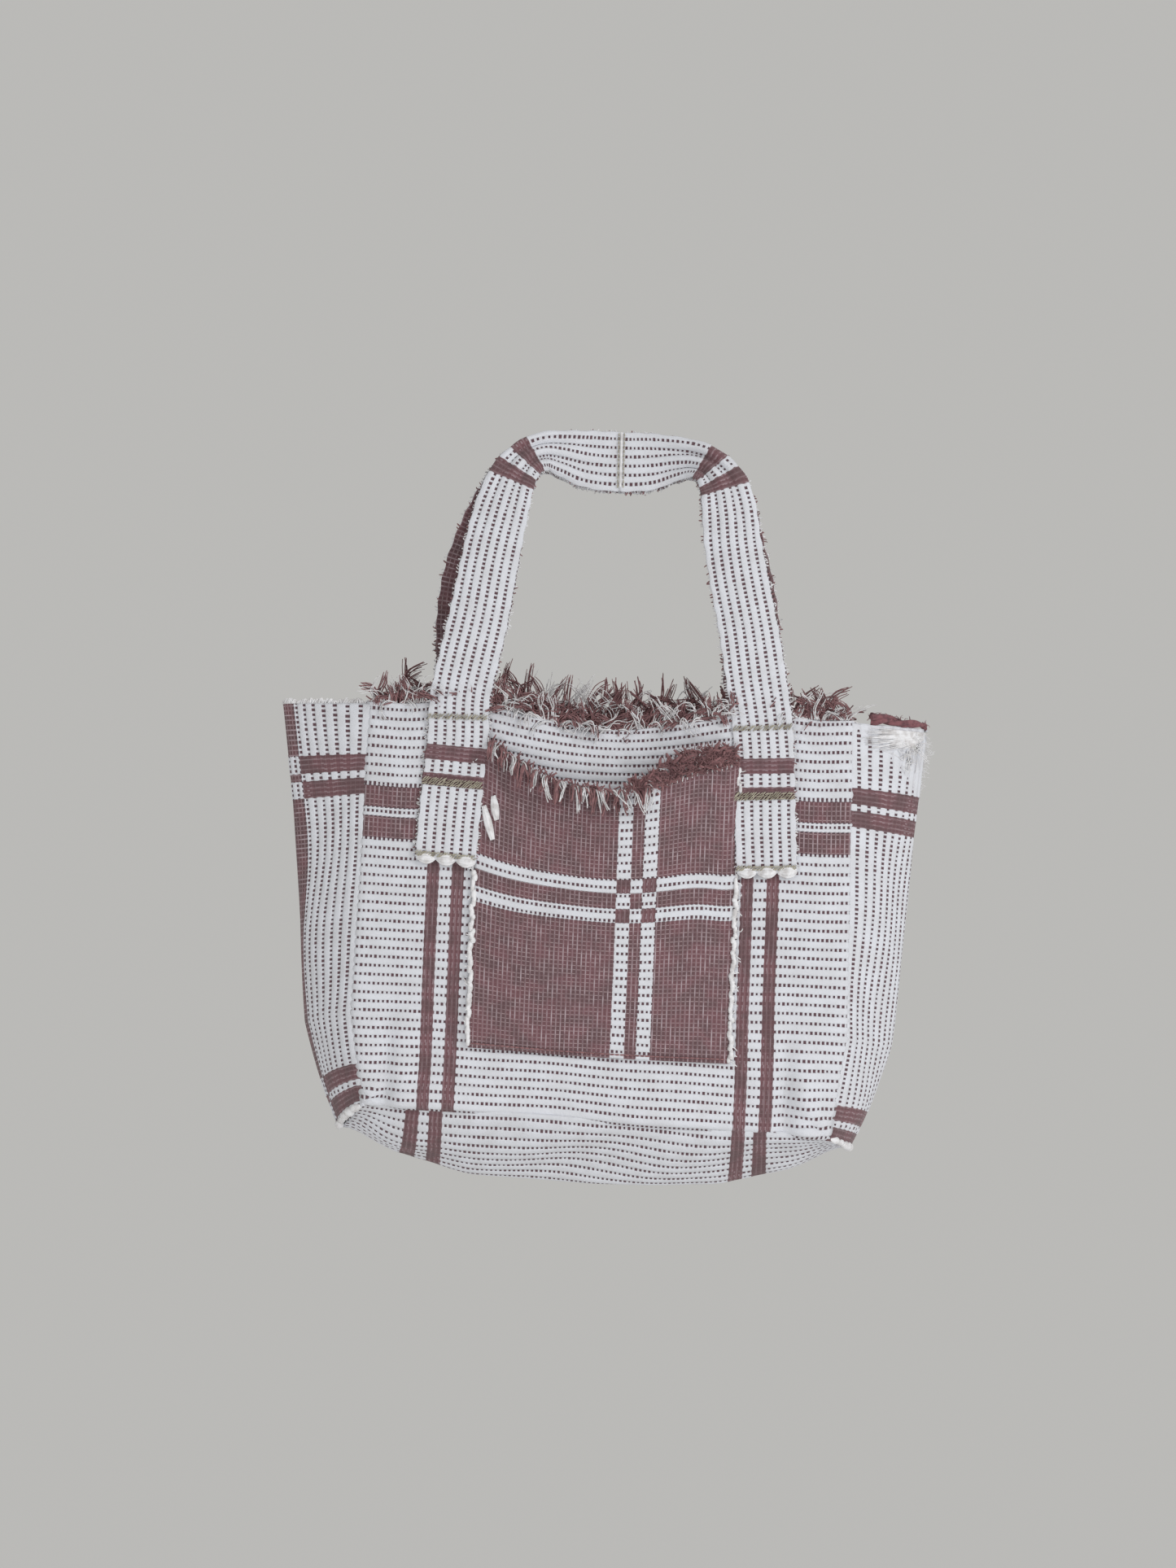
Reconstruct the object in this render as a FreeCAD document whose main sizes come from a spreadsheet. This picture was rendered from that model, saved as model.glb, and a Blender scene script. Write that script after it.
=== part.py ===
import FreeCAD, Part
import Sketcher
import math
import os

# Handwoven cotton tote. Millimetres, +Z up, the front faces -Y, +X is the viewer's right.
# The origin is the hanging point: the middle of the underside of the two handles' grips.
# Heights on the bag are kept as drops below the rim, or rises above it.

os.makedirs("parts", exist_ok=True)
doc = FreeCAD.newDocument("beach_bag")
Vector = FreeCAD.Vector

SIZES = (
    # Panels: front and back are cut alike
    ("rim_width", 298.0),
    ("waist_width", 302.0),
    ("base_width", 282.0),
    ("waist_drop", 190.0),
    ("panel_height", 250.0),
    ("rim_depth", 40.0),
    ("base_depth", 72.0),
    ("cloth_thickness", 2.4),
    # Side strips: how far the outward fold stands beyond the panels' edges
    ("rim_reach", 47.0),
    ("middle_drop", 126.0),
    ("middle_reach", 36.0),
    ("waist_reach", 32.0),
    ("low_drop", 230.0),
    ("low_reach", 25.0),
    ("corner_reach", 16.0),
    ("corner_sag", 8.0),
    # Bottom strip: how far its fold hangs below the panels' lower edges
    ("flank_inset", 22.0),
    ("flank_sag", 24.0),
    ("haunch_inset", 64.0),
    ("haunch_sag", 37.0),
    ("bottom_sag", 40.0),
    # Handles
    ("strap_width", 37.0),
    ("strap_thickness", 2.6),
    ("strap_centre", 92.0),
    ("strap_end_length", 92.0),
    ("strap_end_splay", 5.0),
    ("fold_gap", 4.0),
    ("fold_clearance", 0.6),
    ("hanging_rise", 143.0),
    ("shoulder_half_span", 65.0),
    ("shoulder_rise", 142.0),
    ("shoulder_width", 26.0),
    ("gather_width", 22.0),
    ("gather_thickness", 4.6),
    ("gather_shift", 2.5),
    ("gather_dip", 4.0),
    ("gather_turn", 50.0),
    ("shoulder_thickness", 3.68),
    ("shoulder_turn", 9.74),
    ("leg_taper", 0.95),
    ("grip_taper", 0.76),
    ("grip_end_lift", 1.0),
    ("grip_half_span", 38.0),
    ("leg_top_offset", -11.0),
    ("grip_offset", 6.0),
    ("handle_spacing", 6.5),
    ("join_width", 5.0),
    # Patch pocket, measured along the front panel
    ("pocket_drop", 16.0),
    ("pocket_height", 192.0),
    ("pocket_base_width", 157.0),
    ("pocket_sag", 25.0),
    ("pocket_gape", 15.0),
    ("pocket_base_gape", 0.4),
    ("pocket_clearance", 0.5),
    # Yarn trim and thread
    ("fringe_height", 25.0),
    ("fringe_notch", 13.75),
    ("fringe_thickness", 4.0),
    ("fringe_tuft", 9.0),
    ("fringe_clearance", 1.5),
    ("pocket_fringe_height", 22.0),
    ("pocket_fringe_thickness", 3.0),
    ("loop_height", 4.0),
    ("seam_cord", 1.8),
    ("edging_width", 3.0),
    ("thread_width", 1.6),
    ("thread_height", 0.9),
    ("stitch_length", 3.6),
    ("stitch_pitch", 6.0),
    ("stitch_band_drop", 43.0),
    ("darn_width", 9.0),
    ("darn_height", 28.0),
    ("darn_drop", 59.0),
    ("darn_thickness", 1.0),
    ("cut_margin", 2.0),
)

sheet = doc.addObject("Spreadsheet::Sheet", "sheet")
for row, (alias, size) in enumerate(SIZES, start=1):
    sheet.set(f"A{row}", alias)
    sheet.set(f"B{row}", str(size))
    sheet.setAlias(f"B{row}", alias)
doc.recompute()


def size(alias):
    return float(sheet.get(alias))


# ---- The bag's shape, as functions of the drop below the rim ----

panel_height = size("panel_height")
cloth = size("cloth_thickness")
flare = math.atan((size("base_depth") - size("rim_depth")) / 2 / panel_height)
rim_z = -size("hanging_rise")


def panel_half_width(drop):
    """Half the panel's width: two straight runs, from the rim to the waist and on to the base."""
    waist = size("waist_drop")
    if drop <= waist:
        share = drop / waist
        return (size("rim_width") * (1 - share) + size("waist_width") * share) / 2
    share = (drop - waist) / (panel_height - waist)
    return (size("waist_width") * (1 - share) + size("base_width") * share) / 2


def inner_half_depth(drop):
    """Distance from the middle of the bag to a panel's inner face."""
    return size("rim_depth") / 2 + drop * math.tan(flare) - cloth / math.cos(flare)


def length_along_panel(drop):
    """How far down the sloping panel a drop of its inner face lies."""
    return (drop - cloth * math.sin(flare)) / math.cos(flare)


# A piece lying on a panel is drawn with y = 0 on the panel's outer face and z = 0 at the rim.
on_front = FreeCAD.Placement(
    Vector(0, -size("rim_depth") / 2, rim_z),
    FreeCAD.Rotation(Vector(1, 0, 0), -math.degrees(flare)),
)
half_turn = FreeCAD.Placement(Vector(), FreeCAD.Rotation(Vector(0, 0, 1), 180))
on_back = half_turn.multiply(on_front)
panel_placements = {"front": on_front, "back": on_back}

nodes = []


def add_node(piece, label, placement=None):
    piece.Label = label
    if placement:
        piece.Placement = placement
    nodes.append(piece)
    return piece


def add_shape(label, shape, placement=None):
    """A piece whose form no sketch or primitive gives."""
    feature = doc.addObject("Part::Feature", label)
    feature.Shape = shape
    return add_node(feature, label, placement)


def origin_plane(body, role):
    return next(part for part in body.Origin.OriginFeatures if part.Role == role)


def cut_piece(label, corners, thickness, inward, placement):
    """A flat piece cut to an outline of (x, z) expressions and padded to its thickness."""
    body = doc.addObject("PartDesign::Body", label)
    sketch = body.newObject("Sketcher::SketchObject", label + "_outline")
    sketch.AttachmentSupport = (origin_plane(body, "XZ_Plane"), [""])
    sketch.MapMode = "FlatFace"
    points = [Vector(across["now"], up["now"], 0) for across, up in corners]
    for index, point in enumerate(points):
        after = points[(index + 1) % len(points)]
        sketch.addGeometry(Part.LineSegment(point, after), False)
    for index in range(len(points)):
        after = (index + 1) % len(points)
        sketch.addConstraint(Sketcher.Constraint("Coincident", index, 2, after, 1))
    for index, (across, up) in enumerate(corners):
        for kind, place in (("DistanceX", across), ("DistanceY", up)):
            ends = (-1, 1, index, 1) if place["now"] >= 0 else (index, 1, -1, 1)
            number = sketch.addConstraint(
                Sketcher.Constraint(kind, *ends, abs(place["now"]))
            )
            sketch.setExpression(f"Constraints[{number}]", place["formula"])
    pad = body.newObject("PartDesign::Pad", label + "_cloth")
    pad.Profile = sketch
    pad.setExpression("Length", "sheet." + thickness)
    pad.Reversed = inward
    return add_node(body, label, placement)


def flat(value, formula):
    return {"now": value, "formula": formula}


FLARE = "atan((sheet.base_depth - sheet.rim_depth) / 2 / sheet.panel_height)"


def down_panel(alias):
    formula = f"(sheet.{alias} - sheet.cloth_thickness * sin({FLARE})) / cos({FLARE})"
    return flat(-length_along_panel(size(alias)), formula)


# ---- Front and back panels ----

rim_level = flat(0.0, "0")
waist_level = down_panel("waist_drop")
base_level = down_panel("panel_height")


def half(alias, side):
    return flat(side * size(alias) / 2, f"sheet.{alias} / 2")


panel_corners = [
    (half("rim_width", -1), rim_level),
    (half("rim_width", 1), rim_level),
    (half("waist_width", 1), waist_level),
    (half("base_width", 1), base_level),
    (half("base_width", -1), base_level),
    (half("waist_width", -1), waist_level),
]
for side, placement in panel_placements.items():
    cut_piece(f"{side}_panel", panel_corners, "cloth_thickness", True, placement)


# ---- Side and bottom strips, folded outwards along their middle ----


def fold_section(edge_x, drop, reach_x, reach_z):
    """Closed outline across a folded strip: its outer edges lie on the panels' inner faces."""
    depth = inner_half_depth(drop)
    reach = math.hypot(reach_x, reach_z)
    shift = cloth * math.hypot(reach, depth) / depth / reach
    inward = Vector(-reach_x * shift, 0, -reach_z * shift)
    inner_depth = inner_half_depth(drop - inward.z)
    outer = [
        Vector(edge_x, -depth, rim_z - drop),
        Vector(edge_x + reach_x, 0, rim_z - drop + reach_z),
        Vector(edge_x, depth, rim_z - drop),
    ]
    inner = [point + inward for point in outer]
    inner[0].y = -inner_depth
    inner[2].y = inner_depth
    return outer + inner[::-1]


def loft(sections):
    wires = [Part.makePolygon(section + section[:1]) for section in sections]
    return Part.makeLoft(wires, True, True)


def side_sections(side):
    drops = (
        (0.0, size("rim_reach")),
        (size("middle_drop"), size("middle_reach")),
        (size("waist_drop"), size("waist_reach")),
        (size("low_drop"), size("low_reach")),
    )
    sections = [
        fold_section(side * panel_half_width(drop), drop, side * reach, 0)
        for drop, reach in drops
    ]
    return sections + [corner_section(side)]


def corner_section(side):
    edge = side * size("base_width") / 2
    reach = side * size("corner_reach")
    return fold_section(edge, panel_height, reach, -size("corner_sag"))


def bottom_sections():
    base_half = size("base_width") / 2
    flank = base_half - size("flank_inset")
    haunch = base_half - size("haunch_inset")
    stations = (
        (-flank, size("flank_sag")),
        (-haunch, size("haunch_sag")),
        (0.0, size("bottom_sag")),
        (haunch, size("haunch_sag")),
        (flank, size("flank_sag")),
    )
    middle = [fold_section(x, panel_height, 0, -sag) for x, sag in stations]
    return [corner_section(-1)] + middle + [corner_section(1)]


sides = {"left": -1, "right": 1}
for name, side in sides.items():
    add_shape(f"{name}_gusset", loft(side_sections(side)))
add_shape("bottom_gusset", loft(bottom_sections()))


# ---- Seams: a cord of turned cloth and thread along each joint ----


cord_share = size("seam_cord") / size("rim_reach")


def outer_cord(section, face, facing):
    """Triangle in the outer corner between a strip and a panel's cut edge."""
    edge, fold = section[face], section[1]
    out = Vector(0, facing * math.cos(flare), math.sin(flare))
    return [edge, edge + out * size("seam_cord"), edge + (fold - edge) * cord_share]


for face_name, face, facing in (("front", 0, -1), ("back", 2, 1)):
    for name, side in sides.items():
        cord_sections = [outer_cord(s, face, facing) for s in side_sections(side)]
        add_shape(f"{face_name}_{name}_seam", loft(cord_sections))
    cord_sections = [outer_cord(s, face, facing) for s in bottom_sections()]
    add_shape(f"{face_name}_bottom_seam", loft(cord_sections))


def inner_cord(name, side):
    """The corner seam's turned edges, inside the bag where two strips meet."""
    corner = corner_section(side)
    upper = side_sections(side)[-2]
    lower = bottom_sections()[-2 if side > 0 else 1]
    rows = []
    for index in (5, 4, 3):
        point = corner[index]
        up = (upper[index] - point) * 2 * cord_share
        down = (lower[index] - point) * 2 * cord_share
        rows.append([point, point + up, point + down])
    return add_shape(f"{name}_corner_seam", loft(rows))


for name, side in sides.items():
    inner_cord(name, side)


# ---- Gusset rims: short loops on the left, a rolled frayed edge on the right ----


for name, side, label in (
    ("left", -1, "left_gusset_fringe"),
    ("right", 1, "right_gusset_rolled_edge"),
):
    edge, reach = side * panel_half_width(0), side * size("rim_reach")
    rim_sections = [fold_section(edge, drop, reach, 0) for drop in (0, -size("loop_height"))]
    add_shape(label, loft(rim_sections))


# ---- Handles: strap lengths that meet in the middle of the grip, and their sewn ends ----

strap_thickness = size("strap_thickness")
grip_rise = size("hanging_rise") + size("strap_width") / 2
leg_foot_offset = -(size("rim_depth") + strap_thickness) / 2


def strap_sections(side, facing, further):
    """Rectangles across a strap, from the rim up its leg, round the shoulder to the middle."""
    width, thick = size("strap_width"), strap_thickness
    foot_x, foot_z = size("strap_centre"), size("fold_gap")
    span, rise = size("shoulder_half_span"), size("shoulder_rise")
    grip = size("grip_half_span")
    gather_x = (span + grip) / 2 + size("gather_shift")
    lean = math.atan2(foot_x - span, rise - foot_z)
    half_way = (foot_x + span) / 2, (foot_z + rise) / 2
    leg_top = size("leg_top_offset") + further
    grip_y = size("grip_offset") + further
    foot_y = leg_foot_offset if facing < 0 else -leg_foot_offset
    shoulder_lean = lean + math.radians(size("shoulder_turn"))
    gather_lean, upright = math.radians(size("gather_turn")), math.radians(90)
    stations = (
        (foot_x, foot_z, foot_y, lean, width, thick),
        (*half_way, (foot_y + leg_top) / 2, lean, width * size("leg_taper"), thick),
        (span, rise, leg_top, shoulder_lean, size("shoulder_width"), size("shoulder_thickness")),
        (gather_x, grip_rise - size("gather_dip"), (leg_top + grip_y) / 2, gather_lean,
         size("gather_width"), size("gather_thickness")),
        (grip, grip_rise + size("grip_end_lift"), grip_y, upright,
         width * size("grip_taper"), thick),
        (0, grip_rise, grip_y, upright, width, thick),
    )
    sections = []
    for x, rise_here, y, turn, wide, deep in stations:
        across = Vector(math.cos(turn), 0, math.sin(turn)) * (wide / 2)
        back = Vector(0, deep / 2, 0)
        centre = Vector(x, y, rim_z + rise_here)
        corners = [centre - across - back, centre + across - back,
                   centre + across + back, centre - across + back]
        sections.append([Vector(side * c.x, c.y, c.z) for c in corners])
    return sections


for face_name, facing, further in (("front", -1, 0.0), ("back", 1, size("handle_spacing"))):
    for name, side in sides.items():
        add_shape(f"{face_name}_{name}_strap", loft(strap_sections(side, facing, further)))
    join = doc.addObject("Part::Box", f"{face_name}_handle_join_thread")
    join.setExpression("Length", "sheet.join_width")
    join.setExpression("Width", "sheet.thread_height")
    join.setExpression("Height", "sheet.strap_width")
    outer = facing * strap_thickness / 2 - (size("thread_height") if facing < 0 else 0)
    corner = Vector(
        -size("join_width") / 2,
        size("grip_offset") + further + outer,
        rim_z + grip_rise - size("strap_width") / 2,
    )
    add_node(join, f"{face_name}_handle_join", FreeCAD.Placement(corner, FreeCAD.Rotation()))


def strap_width_half(side):
    return flat(side * size("strap_width") / 2, "sheet.strap_width / 2")


end_top = flat(-size("fold_gap"), "sheet.fold_gap")
end_bottom = flat(-size("strap_end_length"), "sheet.strap_end_length")
end_corners = [
    (strap_width_half(-1), end_top),
    (strap_width_half(1), end_top),
    (strap_width_half(1), end_bottom),
    (strap_width_half(-1), end_bottom),
]
splay = math.degrees(math.atan2(size("strap_end_splay"), size("strap_end_length")))


def stitch_rows():
    """Three rows of thread across a sewn end, standing on its outer face."""
    length, width, height = (
        size("stitch_length"), size("thread_width"), size("thread_height"))
    count = int((size("strap_width") - length) // size("stitch_pitch")) + 1
    first = -((count - 1) * size("stitch_pitch") + length) / 2
    drops = (
        size("fold_gap") + width,
        size("stitch_band_drop"),
        size("strap_end_length") - width,
    )
    stitches = []
    for drop in drops:
        for index in range(count):
            corner = Vector(
                first + index * size("stitch_pitch"),
                -strap_thickness - height,
                -drop - width / 2,
            )
            stitches.append(Part.makeBox(length, height, width, corner))
    return Part.makeCompound(stitches)


for face_name, placement in panel_placements.items():
    for name, side in sides.items():
        local_side = side if face_name == "front" else -side
        hung = FreeCAD.Placement(
            Vector(local_side * size("strap_centre"), 0, 0),
            FreeCAD.Rotation(Vector(0, 1, 0), -local_side * splay),
        )
        sewn = placement.multiply(hung)
        label = f"{face_name}_{name}_strap"
        cut_piece(label + "_end", end_corners, "strap_thickness", False, sewn)
        add_shape(label + "_stitching", stitch_rows(), sewn)


# ---- Rim fringes: tufts of yarn on the panels' top edges, with room for the straps ----


def fringe():
    tuft, height, notch = size("fringe_tuft"), size("fringe_height"), size("fringe_notch")
    half_strap = size("strap_width") / 2 + size("fringe_clearance")
    lean = (size("strap_centre") - size("shoulder_half_span")) / size("shoulder_rise")
    keep_out = (
        size("strap_centre") - half_strap - lean * height,
        size("strap_centre") + half_strap,
    )
    edge = size("rim_width") / 2
    tufts = []
    for start, end in ((-edge, -keep_out[1]), (-keep_out[0], keep_out[0]), (keep_out[1], edge)):
        count = max(1, round((end - start) / tuft))
        pitch = (end - start) / count
        outline = [Vector(end, 0, 0), Vector(start, 0, 0)]
        for index in range(count):
            left = start + index * pitch
            outline.append(Vector(left, 0, notch))
            outline.append(Vector(left + pitch / 2, 0, height))
        outline.append(Vector(end, 0, notch))
        face = Part.Face(Part.makePolygon(outline + outline[:1]))
        tufts.append(face.extrude(Vector(0, size("fringe_thickness"), 0)))
    return Part.makeCompound(tufts)


for face_name, placement in panel_placements.items():
    outwards = FreeCAD.Placement(
        Vector(0, cloth - size("fringe_thickness"), 0), FreeCAD.Rotation()
    )
    add_shape(f"{face_name}_rim_fringe", fringe(), placement.multiply(outwards))


# ---- Patch pocket: flat at its foot, gaping at its sagging mouth ----

pocket_top = -size("pocket_drop")
pocket_foot = pocket_top - size("pocket_height")
pocket_mouth_half = size("strap_centre") - size("strap_width") / 2 - size("pocket_clearance")
pocket_base_half = size("pocket_base_width") / 2
cut_margin = size("cut_margin")


def pocket_layer(inner, outer):
    """A bowed sheet between two distances in front of the panel, over the pocket's height."""
    wires = []
    for z, half_width, gape in (
        (pocket_foot, pocket_base_half, size("pocket_base_gape")),
        (pocket_top, pocket_mouth_half, size("pocket_gape")),
    ):
        corners = [Vector(sign * half_width, -level, z)
                   for sign in (-1, 1) for level in (inner, outer)]
        crowns = [Vector(0, -level - gape, z) for level in (inner, outer)]
        edges = [
            Part.Arc(corners[0], crowns[0], corners[2]).toShape(),
            Part.makeLine(corners[2], corners[3]),
            Part.Arc(corners[3], crowns[1], corners[1]).toShape(),
            Part.makeLine(corners[1], corners[0]),
        ]
        wires.append(Part.Wire(edges))
    return Part.makeLoft(wires, True, True)


def below_mouth(top_shift, bottom):
    """Block between the mouth's sagging line, lowered by top_shift, and a level below it."""
    reach = pocket_base_half + pocket_mouth_half
    ends = [Vector(side * pocket_mouth_half, 0, pocket_top - top_shift) for side in (-1, 1)]
    dip = Vector(0, 0, pocket_top - size("pocket_sag") - top_shift)
    outline = Part.Wire([
        Part.Arc(ends[0], dip, ends[1]).toShape(),
        Part.makeLine(ends[1], Vector(reach, 0, ends[1].z)),
        Part.makeLine(Vector(reach, 0, ends[1].z), Vector(reach, 0, bottom)),
        Part.makeLine(Vector(reach, 0, bottom), Vector(-reach, 0, bottom)),
        Part.makeLine(Vector(-reach, 0, bottom), Vector(-reach, 0, ends[0].z)),
        Part.makeLine(Vector(-reach, 0, ends[0].z), ends[0]),
    ])
    forward = 2 * size("pocket_gape") + 5 * cut_margin
    block = Part.Face(outline).extrude(Vector(0, -forward, 0))
    block.translate(Vector(0, cut_margin, 0))
    return block


pocket = pocket_layer(0, cloth).common(below_mouth(0, pocket_foot - cut_margin))
add_shape("front_pocket", pocket, on_front)

fringe_foot = pocket_top - size("pocket_sag") - size("pocket_fringe_height")
fringe_layer = pocket_layer(cloth, cloth + size("pocket_fringe_thickness"))
hanging_fringe = fringe_layer.common(below_mouth(0, fringe_foot))
above_foot = below_mouth(size("pocket_fringe_height"), fringe_foot - cut_margin)
hanging_fringe = hanging_fringe.cut(above_foot)
add_shape("pocket_fringe", hanging_fringe, on_front)

darn_edge = pocket_mouth_half - size("pocket_clearance") - size("darn_width")
darn_block = Part.makeBox(
    size("darn_width"), 4 * size("pocket_gape"), size("darn_height"),
    Vector(-darn_edge - size("darn_width"), -3 * size("pocket_gape"),
           -size("darn_drop") - size("darn_height") / 2),
)
darn = pocket_layer(cloth, cloth + size("darn_thickness")).common(darn_block)
add_shape("pocket_darn", darn, on_front)

for name, side in sides.items():
    share = (size("strap_end_length") + size("fold_gap") + pocket_top) / size("pocket_height")
    upper_half = pocket_mouth_half + (pocket_base_half - pocket_mouth_half) * share
    top_z = -size("strap_end_length") - size("fold_gap")
    wide = side * size("edging_width")
    sections = []
    for x, z in ((side * upper_half, top_z), (side * pocket_base_half, pocket_foot)):
        sections.append([
            Vector(x, 0, z), Vector(x + wide, 0, z),
            Vector(x + wide, -cloth, z), Vector(x, -cloth, z),
        ])
    add_shape(f"pocket_{name}_edging", loft(sections), on_front)

foot_thread = doc.addObject("Part::Box", "pocket_foot_thread")
foot_thread.setExpression("Length", "sheet.pocket_base_width")
foot_thread.setExpression("Width", "sheet.cloth_thickness")
foot_thread.setExpression("Height", "sheet.thread_width")
foot_corner = Vector(-pocket_base_half, -cloth, pocket_foot - size("thread_width"))
foot_place = on_front.multiply(FreeCAD.Placement(foot_corner, FreeCAD.Rotation()))
add_node(foot_thread, "pocket_bottom_stitching", foot_place)


# ---- Check every object, then write the parts ----

doc.recompute()
for item in doc.Objects:
    if {"Invalid", "Error"} & set(item.State):
        raise SystemExit(f"{item.Label} failed: {item.State}")
for piece in nodes:
    shape = piece.Shape
    if shape.isNull() or not shape.isValid() or shape.Volume <= 0:
        raise SystemExit(f"{piece.Label} has no valid solid")
    shape.exportStep(f"parts/{piece.Label}.step")
    box = shape.BoundBox
    print(f"{piece.Label}: {len(shape.Solids)} solids, {shape.Volume:.0f} mm3, "
          f"x {box.XMin:.1f}..{box.XMax:.1f} y {box.YMin:.1f}..{box.YMax:.1f} "
          f"z {box.ZMin:.1f}..{box.ZMax:.1f}")
fold_offset = size("rim_depth") / 2 + strap_thickness + size("fold_clearance")
print(f"handles fold about y {-fold_offset:.1f} and {fold_offset:.1f}, z {rim_z:.1f}")
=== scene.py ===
import math
import random
from random import gauss, uniform

import bpy
import numpy as np
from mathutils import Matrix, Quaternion, Vector


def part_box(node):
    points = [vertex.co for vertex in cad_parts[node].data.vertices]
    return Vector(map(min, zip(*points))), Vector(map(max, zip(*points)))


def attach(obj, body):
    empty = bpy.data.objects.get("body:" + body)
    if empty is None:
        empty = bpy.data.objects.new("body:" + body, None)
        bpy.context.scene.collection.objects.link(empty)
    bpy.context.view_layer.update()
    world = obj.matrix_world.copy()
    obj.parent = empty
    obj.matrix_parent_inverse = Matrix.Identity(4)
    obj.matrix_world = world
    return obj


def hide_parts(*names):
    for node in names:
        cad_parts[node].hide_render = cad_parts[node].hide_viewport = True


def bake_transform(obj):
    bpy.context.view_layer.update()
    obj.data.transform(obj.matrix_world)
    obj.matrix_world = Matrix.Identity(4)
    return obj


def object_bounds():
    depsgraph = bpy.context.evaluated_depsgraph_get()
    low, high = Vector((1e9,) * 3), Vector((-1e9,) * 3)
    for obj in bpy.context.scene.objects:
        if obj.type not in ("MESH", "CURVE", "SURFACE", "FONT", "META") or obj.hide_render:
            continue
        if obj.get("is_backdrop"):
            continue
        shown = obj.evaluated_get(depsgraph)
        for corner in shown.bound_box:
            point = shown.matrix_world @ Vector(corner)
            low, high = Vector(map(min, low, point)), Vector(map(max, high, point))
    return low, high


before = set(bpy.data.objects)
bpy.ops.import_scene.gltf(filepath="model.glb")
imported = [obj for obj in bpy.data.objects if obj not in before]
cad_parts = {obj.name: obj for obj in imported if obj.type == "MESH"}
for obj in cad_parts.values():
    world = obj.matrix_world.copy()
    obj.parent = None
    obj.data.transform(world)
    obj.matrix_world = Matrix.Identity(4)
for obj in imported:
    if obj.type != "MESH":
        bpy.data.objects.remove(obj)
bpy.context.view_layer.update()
bpy.ops.object.select_all(action="DESELECT")
MM = 0.001

# ---- Viewpoint and light ----
# The bag hangs at chest height before a level camera, turned a little, as it hangs a little
# off level. Everything around it is pale and plain, lit by soft lamps, most of them in front.
RIM_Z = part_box("front_left_strap_end")[1][2] + 2.8 * MM
VIEW_DISTANCE = 0.90
VIEW_HEIGHT = 0.9635
VIEW_PAN = (-12.6 * MM, -42.3 * MM)
VIEW_ROLL = 2.3


def add_object(name, data):
    thing = bpy.data.objects.new(name, data)
    bpy.context.collection.objects.link(thing)
    return thing


camera_data = bpy.data.cameras.new("view")
camera = add_object("view", camera_data)
camera_data.lens = camera_data.sensor_width * VIEW_DISTANCE / VIEW_HEIGHT
camera.location = (VIEW_PAN[0], -VIEW_DISTANCE - 15 * MM, RIM_Z + VIEW_PAN[1])
camera.rotation_mode = "QUATERNION"
level = Quaternion((1, 0, 0), math.radians(90))
camera.rotation_quaternion = level @ Quaternion((0, 0, 1), math.radians(VIEW_ROLL))
bpy.context.scene.camera = camera
bpy.context.scene.view_settings.view_transform = "Standard"

world = bpy.data.worlds.new("pale_room")
world.use_nodes = True
world.node_tree.nodes["Background"].inputs["Color"].default_value = (0.52, 0.515, 0.50, 1)
world.node_tree.nodes["Background"].inputs["Strength"].default_value = 0.95
bpy.context.scene.world = world
for name, place, width, power in (
    ("window_left", (-1.1, -1.5, 0.5), 1.0, 6),
    ("window_right", (1.3, -1.1, 0.5), 0.8, 14),
    ("back_fill", (0.3, 1.7, 0.6), 1.2, 11),
    ("floor_bounce", (0.2, -1.2, -0.95), 0.6, 6),
):
    lamp_data = bpy.data.lights.new(name, "AREA")
    lamp_data.size = width
    lamp_data.energy = power
    lamp = add_object(name, lamp_data)
    lamp.location = place
    aim = Vector((0, 0, RIM_Z - 0.1)) - Vector(place)
    lamp.rotation_euler = aim.to_track_quat("-Z", "Y").to_euler()
    lamp.visible_camera = False

# ---- Front and back panels ----
# Two pieces of heavy handwoven cotton, cut alike. The cloth is reversible: its outer face has
# off-white ribs between rows of brown dashes, its inner face is brown with thin white dashes,
# and the colours change places where the bands of the weave cross it.
CLOTH = 2.4 * MM
ROW = 5.6 * MM
DASH = 2.75 * MM
RIB = 0.6 * MM
PANEL_HEIGHT = 250 * MM
WAIST_DROP = 190 * MM
HALF_DEPTH = (20 * MM, 36 * MM)
FACES = ((-1, "front"), (1, "back"))
SIDES = ((-1, "left"), (1, "right"))
HALF_WIDTHS = (149 * MM, 151 * MM, 141 * MM)
GUSSET_HALF = 50 * MM
SEAM_INSET = 1.2 * MM
SOFT_DASHES = 0.94
WHITE = (0.650, 0.665, 0.715)
BROWN = (0.170, 0.082, 0.093)
DARK = (0.070, 0.036, 0.048)
WORN_WHITE = (0.600, 0.608, 0.645)
# Painted shade colour laid on the white ribs near their grooves
GROOVE_SHADE = (0.42, 0.38, 0.40)
PALER_DASH = (0.110, 0.058, 0.070)
WORN_BROWN = (0.124, 0.071, 0.077)
# Painted shade colour laid in the furrows of the brown ground
FURROW_SHADE = (0.070, 0.038, 0.045)
SLUB = (0.42, 0.34, 0.37)
HAIRLINE = (0.46, 0.36, 0.37)
PLAIN_PITCH = 0.0014


def new_group(name, inputs, outputs):
    """An empty shader group and its two end nodes; inputs and outputs are (name, type)."""
    tree = bpy.data.node_groups.new(name, "ShaderNodeTree")
    for label, kind in inputs:
        tree.interface.new_socket(label, in_out="INPUT", socket_type=kind)
    for label, kind in outputs:
        tree.interface.new_socket(label, in_out="OUTPUT", socket_type=kind)
    return tree, tree.nodes.new("NodeGroupInput"), tree.nodes.new("NodeGroupOutput")


def plug(tree, socket, value):
    if isinstance(value, bpy.types.NodeSocket):
        tree.links.new(value, socket)
    else:
        socket.default_value = value


def calc(tree, operation, *values, clamp=False):
    node = tree.nodes.new("ShaderNodeMath")
    node.operation = operation
    node.use_clamp = clamp
    for socket, value in zip(node.inputs, values):
        plug(tree, socket, value)
    return node.outputs[0]


def times(tree, first, second):
    return calc(tree, "MULTIPLY", first, second)


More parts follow.
